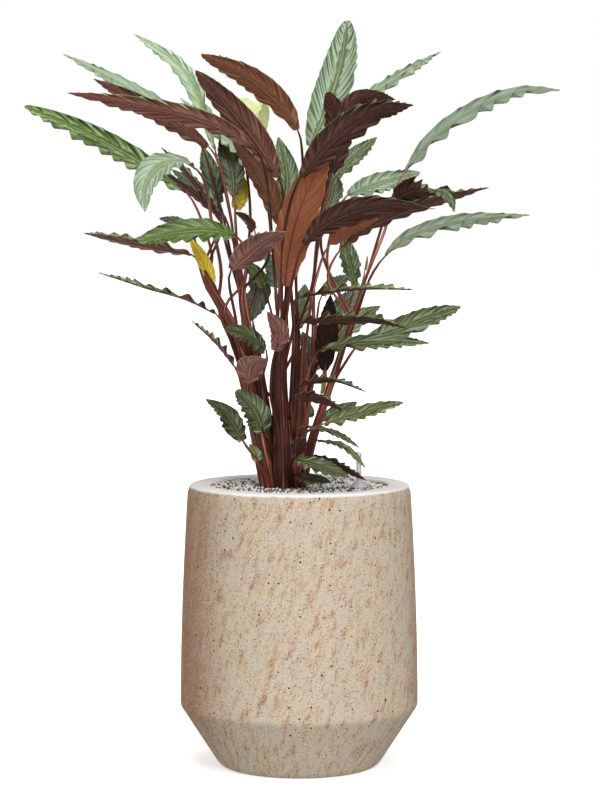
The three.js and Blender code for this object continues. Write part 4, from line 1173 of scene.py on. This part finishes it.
class BladeTree(GrowTree):
    """Waves a flat strip into a blade with a folded midrib, waved margins and two faces."""

    # Sways along the blade: turns from neck to tip, then strength. Starts scale the margin's own
    DRIFT = (1.7, 0.22)
    JITTER = (4.3, 0.1)
    SLOW = (2.6, 0.2)
    QUICK = (5.3, 0.18)
    JITTER_START = 1.7
    SLOW_START = 1.9
    # How far the waves of one margin stand off the other's
    MARGIN_START = 2.1
    MARGIN_SHIFT = 0.4
    # Waves stand closer at the neck than at the tip. The rest shapes the drawn-in parts
    SPREAD = (-0.35, 1.35)
    WARP = 0.12
    SHARPNESS = 1.15
    # The margin nearer the front waves more, and every margin less towards the tip
    FRONT = (-0.45, 0.9)
    EASES_FROM = 0.6
    LEFT_AT_TIP = 0.2
    RUFFLE = (2.0, -0.75)
    RUFFLE_POWER = 2.8
    RIPPLE_POWER = 0.6
    # The midrib is a shallow groove above and a keel below, and thins towards the tip
    RIB_SPREAD = 1.6
    RIB_FACES = (-0.35, 0.65)
    RIB_TAPER = (-0.7, 1.0)

    def __init__(self) -> None:
        """Builds the tree."""
        super().__init__("waved_blade")
        sheet = self.sheet
        waves, phase = self.size("Waves", 8), self.size("Phase")
        height, scallop = self.size("Wave Height", 0.003), self.size("Scallop", 0.001)
        half_width, fold = self.size("Half Width", 0.02), self.size("Fold", FOLD)
        thickness = self.size("Thickness", BLADE_THICKNESS * MM)
        rib, quilt = self.size("Midrib", 0.001), self.size("Quilting", 0.0003)
        tone, marks = self.size("Tone", 1.0), self.size("Marks", 1.0)
        upper, under, edge = (self.finish_input(name) for name in ("Upper", "Under", "Margin"))
        row, across, swell, face = (self.read(name) for name in ("row", "across", "swell", "sheet"))
        up, side = self.read("up", "FLOAT_VECTOR"), self.read("side", "FLOAT_VECTOR")
        reach = sheet.math("ABSOLUTE", across)
        other = sheet.math("LESS_THAN", across, 0.0)
        own = sheet.fit(other, self.MARGIN_START, phase)
        drift = self.sway(row, self.DRIFT, own)
        jitter = self.sway(row, self.JITTER, sheet.product(own, self.JITTER_START))
        spread = sheet.product(row, sheet.fit(row, *self.SPREAD))
        shift = sheet.product(other, self.MARGIN_SHIFT)
        vein = sheet.total(sheet.product(waves, spread), shift, drift, jitter)
        turn = sheet.product(vein, TURN)
        warped = sheet.fit(sheet.math("SINE", turn), self.WARP, turn)
        pinch = sheet.math("POWER", sheet.fit(sheet.math("COSINE", warped), -0.5, 0.5), self.SHARPNESS)
        slow = self.sway(row, self.SLOW, sheet.product(own, self.SLOW_START))
        uneven = sheet.total(slow, self.sway(row, self.QUICK, own), 1.0)
        fade = sheet.math("POWER", sheet.math("DIVIDE", swell, half_width), 0.5)
        depth = sheet.node("ShaderNodeSeparateXYZ", {0: side}).outputs[1]
        front = sheet.fit(sheet.product(across, depth), *self.FRONT)
        eased = sheet.ramp(row, self.EASES_FROM, 1.0, 1.0, self.LEFT_AT_TIP)
        strength = sheet.product(uneven, fade, front, eased)
        drawn_in = sheet.product(sheet.fit(pinch, -2.0, 1.0), strength, scallop)
        half = sheet.total(swell, drawn_in)
        out = sheet.product(half, across)
        rise = sheet.product(fold, reach, half)
        ruffle = sheet.product(sheet.fit(pinch, *self.RUFFLE), strength, height)
        wave = sheet.product(ruffle, sheet.math("POWER", reach, self.RUFFLE_POWER))
        twice = sheet.math("COSINE", sheet.product(turn, 2.0))
        ripple = sheet.product(twice, quilt, sheet.math("POWER", reach, self.RIPPLE_POWER))
        skin = sheet.product(face, thickness, 0.5)
        near = sheet.math("DIVIDE", out, sheet.product(rib, self.RIB_SPREAD))
        hump = sheet.math("SUBTRACT", 1.0, sheet.product(near, near), clamp=True)
        below = sheet.fit(face, *self.RIB_FACES)
        keel = sheet.product(hump, below, rib, sheet.fit(row, *self.RIB_TAPER), -1.0)
        lift = sheet.total(rise, wave, ripple, skin, keel)
        place = sheet.node("GeometryNodeInputPosition").outputs[0]
        place = sheet.vector("ADD", place, sheet.vector("SCALE", side, out))
        place = sheet.vector("ADD", place, sheet.vector("SCALE", up, lift))
        result = self.start.outputs["Geometry"]
        for name, value in (("vein", vein), ("tone", tone), ("marks", marks)):
            inputs = {"Geometry": result, "Name": name, "Value": value}
            result = sheet.node("GeometryNodeStoreNamedAttribute", inputs, data_type="FLOAT").outputs[0]
        result = sheet.node("GeometryNodeSetPosition", {"Geometry": result, "Position": place}).outputs[0]
        is_upper = sheet.math("GREATER_THAN", face, 0.5)
        is_under = sheet.math("LESS_THAN", face, -0.5)
        self.close(result, ((edge, True), (upper, is_upper), (under, is_under)))

    def sway(self, row: Value, kind: tuple[float, float], start: Value) -> bpy.types.NodeSocket:
        """Sways to and fro along the blade, by turns and strength, from a start of the margin's own."""
        turning = self.sheet.fit(row, kind[0] * TURN, start)
        return self.sheet.product(self.sheet.math("SINE", turning), kind[1])


class TubeTree(GrowTree):
    """Sweeps a round, ridged section along paths that hold their thickness at each point.

    The swept faces hold "ring", the place on the section, and "run", the way along the path, which
    the stalks' ridges follow.
    """

    def __init__(self) -> None:
        """Builds the tree."""
        super().__init__("ridged_tube")
        sheet = self.sheet
        sides, ridges = self.size("Sides", 12), self.size("Ridges", 4)
        depth = self.size("Ridge Depth", 0.06)
        finish = self.finish_input("Finish")
        paths = sheet.node("GeometryNodeMeshToCurve", {"Mesh": self.start.outputs["Geometry"]}).outputs[0]
        ring = sheet.node("GeometryNodeCurvePrimitiveCircle", {"Resolution": sides, "Radius": 1.0}).outputs[0]
        turn = sheet.product(sheet.node("GeometryNodeSplineParameter").outputs["Factor"], TURN)
        wider = sheet.fit(sheet.math("COSINE", sheet.product(turn, ridges)), depth, 1.0)
        place = sheet.vector("SCALE", sheet.node("GeometryNodeInputPosition").outputs[0], wider)
        ring = sheet.node("GeometryNodeSetPosition", {"Geometry": ring, "Position": place}).outputs[0]
        inputs = {"Geometry": ring, "Name": "ring", "Value": place}
        ring = sheet.node("GeometryNodeStoreNamedAttribute", inputs, data_type="FLOAT_VECTOR").outputs[0]
        run = sheet.node("GeometryNodeSplineParameter").outputs["Length"]
        inputs = {"Geometry": paths, "Name": "run", "Value": run}
        paths = sheet.node("GeometryNodeStoreNamedAttribute", inputs, data_type="FLOAT").outputs[0]
        inputs = {"Curve": paths, "Profile Curve": ring, "Scale": self.read("thickness"), "Fill Caps": True}
        tubes = sheet.node("GeometryNodeCurveToMesh", inputs).outputs[0]
        self.close(tubes, ((finish, True),))


class GrainTree(GrowTree):
    """Scatters angular grains over a surface."""

    VARIANTS = 4
    DENT = 0.32
    SHORTEST = (0.75, 0.6, 0.55)
    LONGEST = (1.3, 1.0, 0.9)
    MOST_PER_SQUARE_METRE = 90000.0

    def __init__(self) -> None:
        """Builds the tree."""
        super().__init__("scattered_grains")
        sheet = self.sheet
        spacing, radius = self.size("Spacing", 0.004), self.size("Radius", 0.003)
        depth = self.size("Depth", 0.002)
        finish = self.finish_input("Finish")
        inputs = {"Mesh": self.start.outputs["Geometry"], "Distance Min": spacing,
                  "Density Max": self.MOST_PER_SQUARE_METRE, "Seed": 5}
        points = sheet.node("GeometryNodeDistributePointsOnFaces", inputs,
                            distribute_method="POISSON").outputs[0]
        chips = sheet.node("GeometryNodeJoinGeometry")
        for variant in range(self.VARIANTS):
            chip = sheet.node("GeometryNodeMeshIcoSphere", {"Radius": 1.0, "Subdivisions": 1}).outputs[0]
            dent = self.draw((-self.DENT,) * 3, (self.DENT,) * 3, variant + 11)
            inputs = {"Geometry": chip, "Offset": dent}
            chip = sheet.node("GeometryNodeSetPosition", inputs).outputs[0]
            chip = sheet.node("GeometryNodeGeometryToInstance", {0: chip}).outputs[0]
            self.tree.links.new(chip, chips.inputs[0])
        size = sheet.vector("SCALE", self.draw(self.SHORTEST, self.LONGEST, 3), radius)
        pick = sheet.node("FunctionNodeRandomValue", data_type="INT")
        for socket in pick.inputs:
            if socket.type == "INT" and socket.name in ("Min", "Max"):
                socket.default_value = 0 if socket.name == "Min" else self.VARIANTS - 1
        inputs = {"Points": points, "Instance": chips.outputs[0], "Pick Instance": True,
                  "Instance Index": pick.outputs[2], "Rotation": self.draw((0.0,) * 3, (TURN,) * 3, 4),
                  "Scale": size}
        grains = sheet.node("GeometryNodeInstanceOnPoints", inputs).outputs[0]
        sunk = sheet.product(self.draw_number(9), depth, -1.0)
        drop = sheet.node("ShaderNodeCombineXYZ", {2: sunk}).outputs[0]
        inputs = {"Instances": grains, "Translation": drop, "Local Space": False}
        grains = sheet.node("GeometryNodeTranslateInstances", inputs).outputs[0]
        inputs = {"Geometry": grains, "Name": "grain", "Value": self.draw_number(6)}
        grains = sheet.node("GeometryNodeStoreNamedAttribute", inputs, data_type="FLOAT",
                            domain="INSTANCE").outputs[0]
        self.close(grains, ((finish, True),))

    def draw(self, low: Point, high: Point, seed: int) -> bpy.types.NodeSocket:
        """Draws a random vector for each element from a fixed seed."""
        inputs = {0: low, 1: high, "Seed": seed}
        return self.sheet.node("FunctionNodeRandomValue", inputs, data_type="FLOAT_VECTOR").outputs[0]

    def draw_number(self, seed: int) -> bpy.types.NodeSocket:
        """Draws a random number from 0 to 1 for each element from a fixed seed."""
        return self.sheet.node("FunctionNodeRandomValue", {"Seed": seed}, data_type="FLOAT").outputs[1]


@dataclass
class Planter:
    """The barrel-shaped planter of cast stone. Sizes in millimetres."""

    height: float = 457.0
    widest: float = 192.0
    crease: float = 98.0
    foot_radius: float = 128.5
    base_radius: float = 121.0
    rim_radius: float = 178.0
    mouth_radius: float = 143.0
    lip: float = 35.0
    wall: float = 14.0
    foot_wall: float = 24.0
    crease_wall: float = 20.0
    wall_break: float = 260.0
    shoulder: float = 408.0
    rings: int = 4
    sides: int = 180

    def taper(self, height: float) -> float:
        """The radius of the tapered foot at a height."""
        return self.foot_radius + (self.widest - self.foot_radius) / self.crease * height

    def side(self, height: float) -> float:
        """The radius of the bulged side at a height."""
        share = (height - self.crease) / (self.height - self.crease)
        return self.widest + 0.5 - (self.widest - self.rim_radius - 1) * max(share, 0) ** 1.8

    def profile(self) -> Profile:
        """Draws the planter's section.

        Returns:
            Radius and height from the middle of the base up the outside and back inside.
        """
        top, crease = self.height, self.crease
        points = [(0.0, 0.0)]
        points += corner((self.base_radius, 0), (self.foot_radius - 1, 0), (self.taper(9), 9))
        points += [(self.taper(height), height) for height in range(14, 94, self.rings)]
        points += corner((self.taper(94), 94), (self.widest + 0.3, crease), (self.side(103), 103), 6)
        points += [(self.side(height), height) for height in range(108, 448, self.rings)]
        points += corner((self.rim_radius, top - 6), (self.rim_radius - 0.3, top), (self.rim_radius - 6, top))
        points += corner((self.mouth_radius + 5, top), (self.mouth_radius, top), (self.mouth_radius, top - 5))
        points += [(self.mouth_radius, top - self.lip), (self.mouth_radius + 5, top - self.lip - 6)]
        points += [(self.side(height) - self.wall, height) for height in (self.shoulder, self.wall_break)]
        points += [(self.taper(crease) - self.crease_wall, crease)]
        points += [(self.taper(self.wall) - self.foot_wall, self.wall), (0.0, self.wall)]
        return points

    def build(self) -> None:
        """Makes the shell and gives the hidden mix its finish."""
        shell = placed("planter_shell", turned("planter_shell", self.profile(), self.sides))
        dress(shell, CastStone().material())
        declare(shell, "stone", "pot")
        mix = Mould("potting_mix", "1d1410", "3a2a1f").material()
        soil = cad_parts["soil"]
        soil.data.materials.clear()
        soil.data.materials.append(mix)


@dataclass
class GravelBed:
    """The gravel: a dark bed, painted as the shade between the grains, and a layer of loose grains over it.
    Sizes in millimetres.
    """

    radius: float = 142.3
    bottom: float = 425.0
    bed_top: float = 450.0
    grain_height: float = 452.3
    grain_radius: float = 3.3
    grain_spacing: float = 4.2
    grain_drop: float = 2.2
    crown: tuple[float, float, float] = (-25.0, 0.0, 39.0)
    gauge: tuple[float, float, float] = (96.0, -25.0, 15.0)
    edge: float = 2.2
    rings: int = 36
    sides: int = 72

    def field(self) -> bpy.types.Mesh:
        """Lays out the flat ground that the grains lie on.

        Returns:
            A disc that is open at the crown and at the gauge.
        """
        step = self.radius / self.rings
        points, faces, index = [], [], {}
        for ring in range(self.rings + 1):
            for side in range(self.sides):
                angle = side * TURN / self.sides
                reach = max(ring * step - self.edge, 0.01)
                index[ring, side] = len(points)
                points.append((reach * math.cos(angle), reach * math.sin(angle), self.grain_height))
        for ring in range(self.rings):
            for side in range(self.sides):
                after = (side + 1) % self.sides
                face = [index[ring, side], index[ring + 1, side], index[ring + 1, after], index[ring, after]]
                middle = np.mean([points[at] for at in face], axis=0)
                openings = (self.crown, self.gauge)
                if all(math.hypot(middle[0] - x, middle[1] - y) > keep for x, y, keep in openings):
                    faces.append(face)
        return mesh_from("grain_field", np.array(points) * MM, faces)

    def build(self) -> None:
        """Makes the bed and its grains."""
        profile = [(0, self.bottom), (self.radius, self.bottom)]
        profile += [(self.radius, self.bed_top), (0, self.bed_top)]
        bed = placed("gravel_bed", turned("gravel_bed", profile, self.sides))
        # Painted shade: the dark bed shows between the grains
        bed.data.materials.append(Mould("grit_shade", "2a2324", "6b5d58").material())
        declare(bed, "gravel", "gravel")
        values = {"Spacing": self.grain_spacing * MM, "Radius": self.grain_radius * MM,
                  "Depth": self.grain_drop * MM, "Finish": Grit().material()}
        grains = GrainTree().grow("gravel_grains", self.field(), values)
        grains.data.polygons.foreach_set("use_smooth", [False] * len(grains.data.polygons))
        declare(grains, "gravel", "gravel")


@dataclass
class WaterGauge:
    """The clear water gauge with its domed collar, tube, float and yellow mark. Sizes in millimetres."""

    x: float = 96.0
    y: float = -25.0
    foot: float = 453.3
    collar_radius: float = 13.5
    collar_height: float = 13.0
    tube_radius: float = 4.5
    bore: float = 2.7
    tube_bottom: float = 60.0
    tube_top: float = 510.0
    float_height: float = 468.0
    bead_radius: float = 2.2
    rod_radius: float = 0.9
    mark_radius: float = 1.9
    mark_span: tuple[float, float] = (7.0, 10.5)
    sides: int = 40

    def part(self, name: str, profile: Profile, finish: bpy.types.Material, slot: str, *nodes: str) -> None:
        """Args:
            name: The piece's name.
            profile: Its section.
            finish: Its material.
            slot: The record's material slot.
            nodes: The nodes that it replaces.
        """
        piece = placed(name, turned(name, profile, self.sides, (self.x, self.y)))
        dress(piece, finish)
        declare(piece, slot, *nodes)

    def build(self) -> None:
        """Makes the collar, the tube, the float and the mark."""
        clear = ClearPlastic("gauge_dome", "f0eef8", 0.5).material()
        tube = ClearPlastic("gauge_clear", "f8f8fa", 0.4).material()
        red = SolidPlastic("gauge_red", "a8281c", "8a1d15").material()
        yellow = SolidPlastic("gauge_yellow", "e2c14a", "d1ad35").material()
        bore, top, foot = self.tube_radius + 0.2, self.foot + self.collar_height, self.foot
        wide, tall = self.collar_radius, self.collar_height
        dome = [(bore, foot), (wide - 1.2, foot)]
        dome += corner((wide, foot + 0.6), (wide, foot + 3), (wide - 2.0, foot + 0.45 * tall), 5)
        dome += corner((wide - 2.6, foot + 0.53 * tall), (wide - 5, foot + 0.86 * tall),
                       (bore + 0.6, top - 0.3), 6)
        dome += [(bore, top)]
        self.part("gauge_dome", dome, clear, "clear_plastic", "gauge_collar")
        half = self.tube_radius
        pipe = [(self.bore, self.tube_bottom), (half, self.tube_bottom), (half, self.tube_top - 1)]
        pipe += corner((half, self.tube_top - 1), (half, self.tube_top), (half - 1, self.tube_top), 3)[1:]
        pipe += [(0, self.tube_top), (0, self.tube_top - 3), (self.bore, self.tube_top - 3)]
        self.part("gauge_pipe", pipe, tube, "clear_plastic", "gauge_tube")
        bead, round_by, slim = self.float_height, self.bead_radius, self.rod_radius
        rod = [(0, self.tube_bottom), (slim, self.tube_bottom), (slim, bead - 2.1)]
        rod += [(round_by * math.sin(turn), bead - round_by * math.cos(turn))
                for turn in np.linspace(0.42, 2.9, 12)]
        rod += [(0, bead + round_by)]
        self.part("gauge_bead", rod, red, "red_plastic", "gauge_float")
        low, high = (bead + offset for offset in self.mark_span)
        mark = [(0, low), (self.mark_radius, low), (self.mark_radius, high), (0, high)]
        self.part("gauge_mark", mark, yellow, "red_plastic", "gauge_float")


@dataclass
class StalkClump:
    """The crown, the sheaths, every stalk and every blade. Sizes in millimetres."""

    centre: tuple[float, float] = (-25.0, 0.0)
    crown_radius: float = 40.0
    crown_bottom: float = 385.0
    crown_top: float = 446.0
    foot_radius: float = 2.2
    foot_per_width: float = 0.03
    neck_radius: float = 1.4
    neck_per_width: float = 0.014
    reach_under_blade: float = 22.0
    core_share: float = 0.97
    ridge_depth: float = 0.05
    under_blade: float = 0.9
    fewest_steps: int = 14
    sheath_steps: int = 28
    closing: float = 0.16
    step: float = 16.0
    shade_spread: tuple[float, float] = (0.75, 1.4)
    tip_shares: tuple[float, float, float] = (0.85, 0.62, 0.3)

    def root(self, target: Point) -> tuple[int, float]:
        """Picks the sheath and the place on it that a stalk leaves from.

        Args:
            target: The first point that the stalk heads for.

        Returns:
            The sheath's number and the share of its path.
        """
        best, best_cost = (0, 0.0), math.inf
        for number, sheath in enumerate(SHEATHS):
            for share in ROOT_SHARES:
                point = sheath.curve().at(np.array([share]))[0]
                aside = math.hypot(point[0] - target[0], point[1] - target[1])
                cost = float(np.linalg.norm(point - np.array(target))) + ASIDE_COST * aside
                if point[2] < target[2] - ROOT_DROP and cost < best_cost:
                    best, best_cost = (number, share), cost
        return best

    def stalk_paths(self) -> list[Tube]:
        """Runs every stalk from the crown up its sheath and out to its blade.

        Returns:
            The points, the radii and the lightness of each stalk.
        """
        rooted = []
        for leaf in LEAVES + SMALL_LEAVES:
            target = leaf.stalk[0] if leaf.stalk else leaf.rib[0]
            rooted.append((leaf, target, *self.root(target)))
        made = []
        draw = random.Random(3)
        for number, sheath in enumerate(SHEATHS):
            curve = sheath.curve()
            own = [entry for entry in rooted if entry[2] == number]
            middle = curve.at(np.array([0.5]))[0]
            own.sort(key=lambda entry: math.atan2(entry[1][1] - middle[1], entry[1][0] - middle[0]))
            for place, (leaf, _, _, share) in enumerate(own):
                angle = -math.pi + TURN * (place + 0.5) / len(own)
                points, radii = self.stalk_path(leaf, sheath, curve, share, angle)
                made.append((points, radii, sheath.light * draw.uniform(*self.shade_spread)))
        return made

    def stalk_path(self, leaf: Leaf, sheath: Sheath, curve: SmoothCurve, share: float,
                   angle: float) -> tuple[np.ndarray, np.ndarray]:
        """Runs one stalk up the side of its sheath and out to its blade.

        Args:
            leaf: The leaf.
            sheath: Its sheath.
            curve: The sheath's middle line.
            share: Where on the sheath the stalk leaves it.
            angle: Which side of the sheath it runs on.

        Returns:
            The stalk's points and its radius at each.
        """
        foot = self.foot_radius + self.foot_per_width * leaf.width
        neck = self.neck_radius + self.neck_per_width * leaf.width
        lower = np.linspace(0, share, max(2, int(math.ceil(share * 5)) + 1))
        radius = (sheath.wide + (sheath.slim - sheath.wide) * lower - 0.5 * foot).clip(1.0)
        outward = np.array([math.cos(angle), math.sin(angle), 0.0])
        run = curve.at(lower) + radius[:, None] * outward
        rib = SmoothCurve(leaf.rib)
        tail, ahead = rib.along(np.array([0, min(self.reach_under_blade / rib.length, 0.5)]))
        up = np.array(leaf.face) - np.dot(leaf.face, ahead[1]) * ahead[1]
        tail[1] -= up / np.linalg.norm(up) * self.under_blade
        points = np.vstack([run, np.array(leaf.stalk).reshape(-1, 3), tail])
        path = SmoothCurve(points)
        steps = max(self.fewest_steps, int(path.length / self.step))
        shares = np.linspace(0, 1, steps + 1)
        thick = foot + (neck - foot) * shares
        thick[-3:] *= self.tip_shares
        return path.along(shares)[0], thick

    def tubes(self, tree: TubeTree, name: str, paths: list[Tube], **values: object) -> None:
        """Each point holds its tube's thickness, lightness and largest radius, which the ridges need.

        Args:
            tree: The tree that sweeps the tubes.
            name: The piece's name.
            paths: Points, radii and lightness of each tube.
            values: The tree's inputs by name, with _ for a space.
        """
        edges, start = [], 0
        for points, _, _ in paths:
            edges += [(start + at, start + at + 1) for at in range(len(points) - 1)]
            start += len(points)
        mesh = mesh_from(name, np.vstack([points for points, _, _ in paths]) * MM, [], edges)
        tag(mesh, "thickness", np.concatenate([radii for _, radii, _ in paths]) * MM)
        tag(mesh, "shade", np.concatenate([np.full(len(points), light) for points, _, light in paths]))
        tag(mesh, "girth", np.concatenate([np.full(len(radii), radii.max()) for _, radii, _ in paths]) * MM)
        named = {key.replace("_", " "): value for key, value in values.items()}
        declare(tree.grow(name, mesh, named), "stalk", "stalks")

    def build_stalks(self) -> None:
        """Makes the crown, the sheaths and the stalks."""
        tree = TubeTree()
        skin = StalkSkin().material()
        paths = self.stalk_paths()
        ridges = self.ridge_depth
        self.tubes(tree, "stalk_tubes", paths, Sides=12, Ridges=4.0, Ridge_Depth=ridges, Finish=skin)
        cores = []
        for sheath in SHEATHS:
            shares = np.linspace(0, 0.99, self.sheath_steps)
            radii = self.core_share * (sheath.wide + (sheath.slim - sheath.wide) * shares)
            radii *= np.clip((1 - shares) / self.closing, 0.08, 1) ** 0.6
            cores.append((sheath.curve().at(shares), radii, sheath.light))
        self.tubes(tree, "sheaths", cores, Sides=48, Ridges=12.0, Ridge_Depth=ridges, Finish=skin)
        top, wide = self.crown_top, self.crown_radius
        profile = [(0, self.crown_bottom), (wide - 6, self.crown_bottom), (wide - 1, self.crown_bottom + 8)]
        profile += corner((wide - 1, top - 8), (wide - 2, top), (wide - 12, top + 2), 5) + [(0, top + 4)]
        crown = placed("crown", turned("crown", profile, 64, self.centre))
        tag(crown.data, "shade", np.ones(len(crown.data.vertices)))
        middle = self.centre[0] * MM
        tag(crown.data, "run", np.array([math.atan2(v.co.y, v.co.x - middle) for v in crown.data.vertices]))
        skin = StalkSkin("crown_skin", "3a211b", "573329", "1c110e", "35301f")
        crown.data.materials.append(skin.material())
        declare(crown, "stalk", "stalks")

    def blade(self, tree: BladeTree, skins: dict[Face, bpy.types.Material], leaf: Leaf, name: str,
              number: int) -> bpy.types.Object:
        """Makes one blade.

        Args:
            tree: The tree that waves the blade.
            skins: The material of each finish.
            leaf: The leaf.
            name: The piece's name.
            number: The leaf's number, which seeds what is random.

        Returns:
            The blade, not yet declared.
        """
        draw = random.Random(number)
        upper, under, _ = leaf.tone.value
        spacing = leaf.length() / leaf.waves() * MM
        values = {
            "Waves": leaf.waves(),
            "Phase": draw.uniform(0, TURN),
            "Wave Height": WAVE_LIFT * leaf.wave * spacing,
            "Scallop": SCALLOP * (0.4 + 0.6 * leaf.wave) * spacing,
            "Half Width": leaf.width / 2 * MM,
            "Fold": FOLD,
            "Thickness": BLADE_THICKNESS * MM,
            "Midrib": (0.5 + leaf.width / 70) * MM,
            "Quilting": 0.009 * leaf.width * MM,
            "Tone": leaf.light * draw.uniform(0.95, 1.05),
            "Marks": leaf.marks,
            "Upper": skins[upper],
            "Under": skins[under],
            "Margin": skins[Face.EDGE],
        }
        return tree.grow(name, leaf.strip(name), values)

    def build_blades(self) -> None:
        """Makes every blade, with the small inner ones joined by their slot."""
        tree, skins = BladeTree(), {face: face.value.material() for face in Face}
        for number, leaf in enumerate(LEAVES, 1):
            piece = self.blade(tree, skins, leaf, f"blade_{number:02d}", number)
            declare(piece, leaf.tone.value[2], f"leaf_{number:02d}")
        groups: dict[str, list[bpy.types.Object]] = {}
        for number, leaf in enumerate(SMALL_LEAVES, 1):
            piece = self.blade(tree, skins, leaf, f"small_{number:02d}", 100 + number)
            groups.setdefault(leaf.tone.value[2], []).append(piece)
        for slot, members in groups.items():
            with bpy.context.temp_override(active_object=members[0], selected_editable_objects=members):
                bpy.ops.object.join()
            members[0].name = members[0].data.name = slot.replace("leaf", "inner_blades")
            declare(members[0], slot, "stalks")


@dataclass(frozen=True)
class Lamp:
    """A soft distant lamp: its strength, how wide it looks, and where it stands in degrees."""

    name: str
    strength: float
    softness: float
    azimuth: float
    elevation: float

    def build(self) -> None:
        """Hangs the lamp, with azimuth 0 in front of the planter and 90 on its right."""
        light = bpy.data.lights.new(self.name, "SUN")
        light.energy, light.angle = self.strength, math.radians(self.softness)
        lamp = bpy.data.objects.new(self.name, light)
        lamp.rotation_euler = (math.radians(90 - self.elevation), 0, math.radians(self.azimuth))
        bpy.context.scene.collection.objects.link(lamp)


@dataclass
class Studio:
    """A pale floor, soft light and the camera at the photograph's angle. Sizes in metres."""

    camera_back: float = 4.350
    camera_height: float = 0.902
    camera_aside: float = 0.0013
    tilt_down: float = 4.07
    focal_pixels: float = 2703.0
    image_height: float = 800.0
    floor_size: float = 60.0
    ambient: float = 0.24
    floor_glow: float = 0.5
    lamps: tuple[Lamp, ...] = (
        Lamp("key", 1.6, 32, 24, 27),
        Lamp("fill", 0.75, 50, -24, 7),
        Lamp("bounce", 0.32, 90, 0, -38),
        Lamp("top", 1.4, 40, 0, 80),
        Lamp("back", 0.5, 60, 200, 35),
    )

    def build(self) -> None:
        """Makes the camera, the floor, the lamps and the background."""
        scene = bpy.context.scene
        data = bpy.data.cameras.new("camera")
        data.lens = self.focal_pixels * data.sensor_width / self.image_height
        data.clip_end = 100
        camera = bpy.data.objects.new("camera", data)
        camera.location = (self.camera_aside, -self.camera_back, self.camera_height)
        camera.rotation_euler = (math.radians(90 - self.tilt_down), 0, 0)
        scene.collection.objects.link(camera)
        scene.camera = camera
        for lamp in self.lamps:
            lamp.build()
        half = self.floor_size / 2
        corners = np.array([(-half, -half, 0), (half, -half, 0), (half, half, 0), (-half, half, 0)])
        floor = placed("floor", mesh_from("floor", corners, [(0, 1, 2, 3)]))
        floor.visible_diffuse = floor.visible_shadow = False
        paint = Paint("floor_white", Roughness=0.7, Specular_IOR_Level=0.0, Emission_Strength=self.floor_glow)
        paint.shader.inputs["Emission Color"].default_value = colour("ffffff")
        haze = paint.blend(paint.noise(paint.place, 3), colour("fbfbfa"), colour("ffffff"))
        floor.data.materials.append(paint.finish(haze))
        world = bpy.data.worlds.new("studio")
        world.use_nodes = True
        sheet = Sheet(world.node_tree)
        path = sheet.node("ShaderNodeLightPath").outputs
        seen = sheet.math("MAXIMUM", path["Is Camera Ray"], path["Is Transmission Ray"])
        background = world.node_tree.nodes["Background"]
        strength = sheet.fit(seen, 1 - self.ambient, self.ambient)
        sheet.feed(background.inputs["Strength"], strength)
        background.inputs["Color"].default_value = (1, 1, 1, 1)
        scene.world = world
        scene.view_settings.view_transform = "Standard"
        scene.view_settings.look = "None"


def main() -> None:
    """Builds the studio, the planter, its filling and the plant."""
    logging.basicConfig(level=logging.INFO, format="%(name)s: %(message)s")
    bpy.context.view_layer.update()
    Studio().build()
    Planter().build()
    GravelBed().build()
    WaterGauge().build()
    clump = StalkClump()
    clump.build_stalks()
    clump.build_blades()


if __name__ == "__main__":
    main()
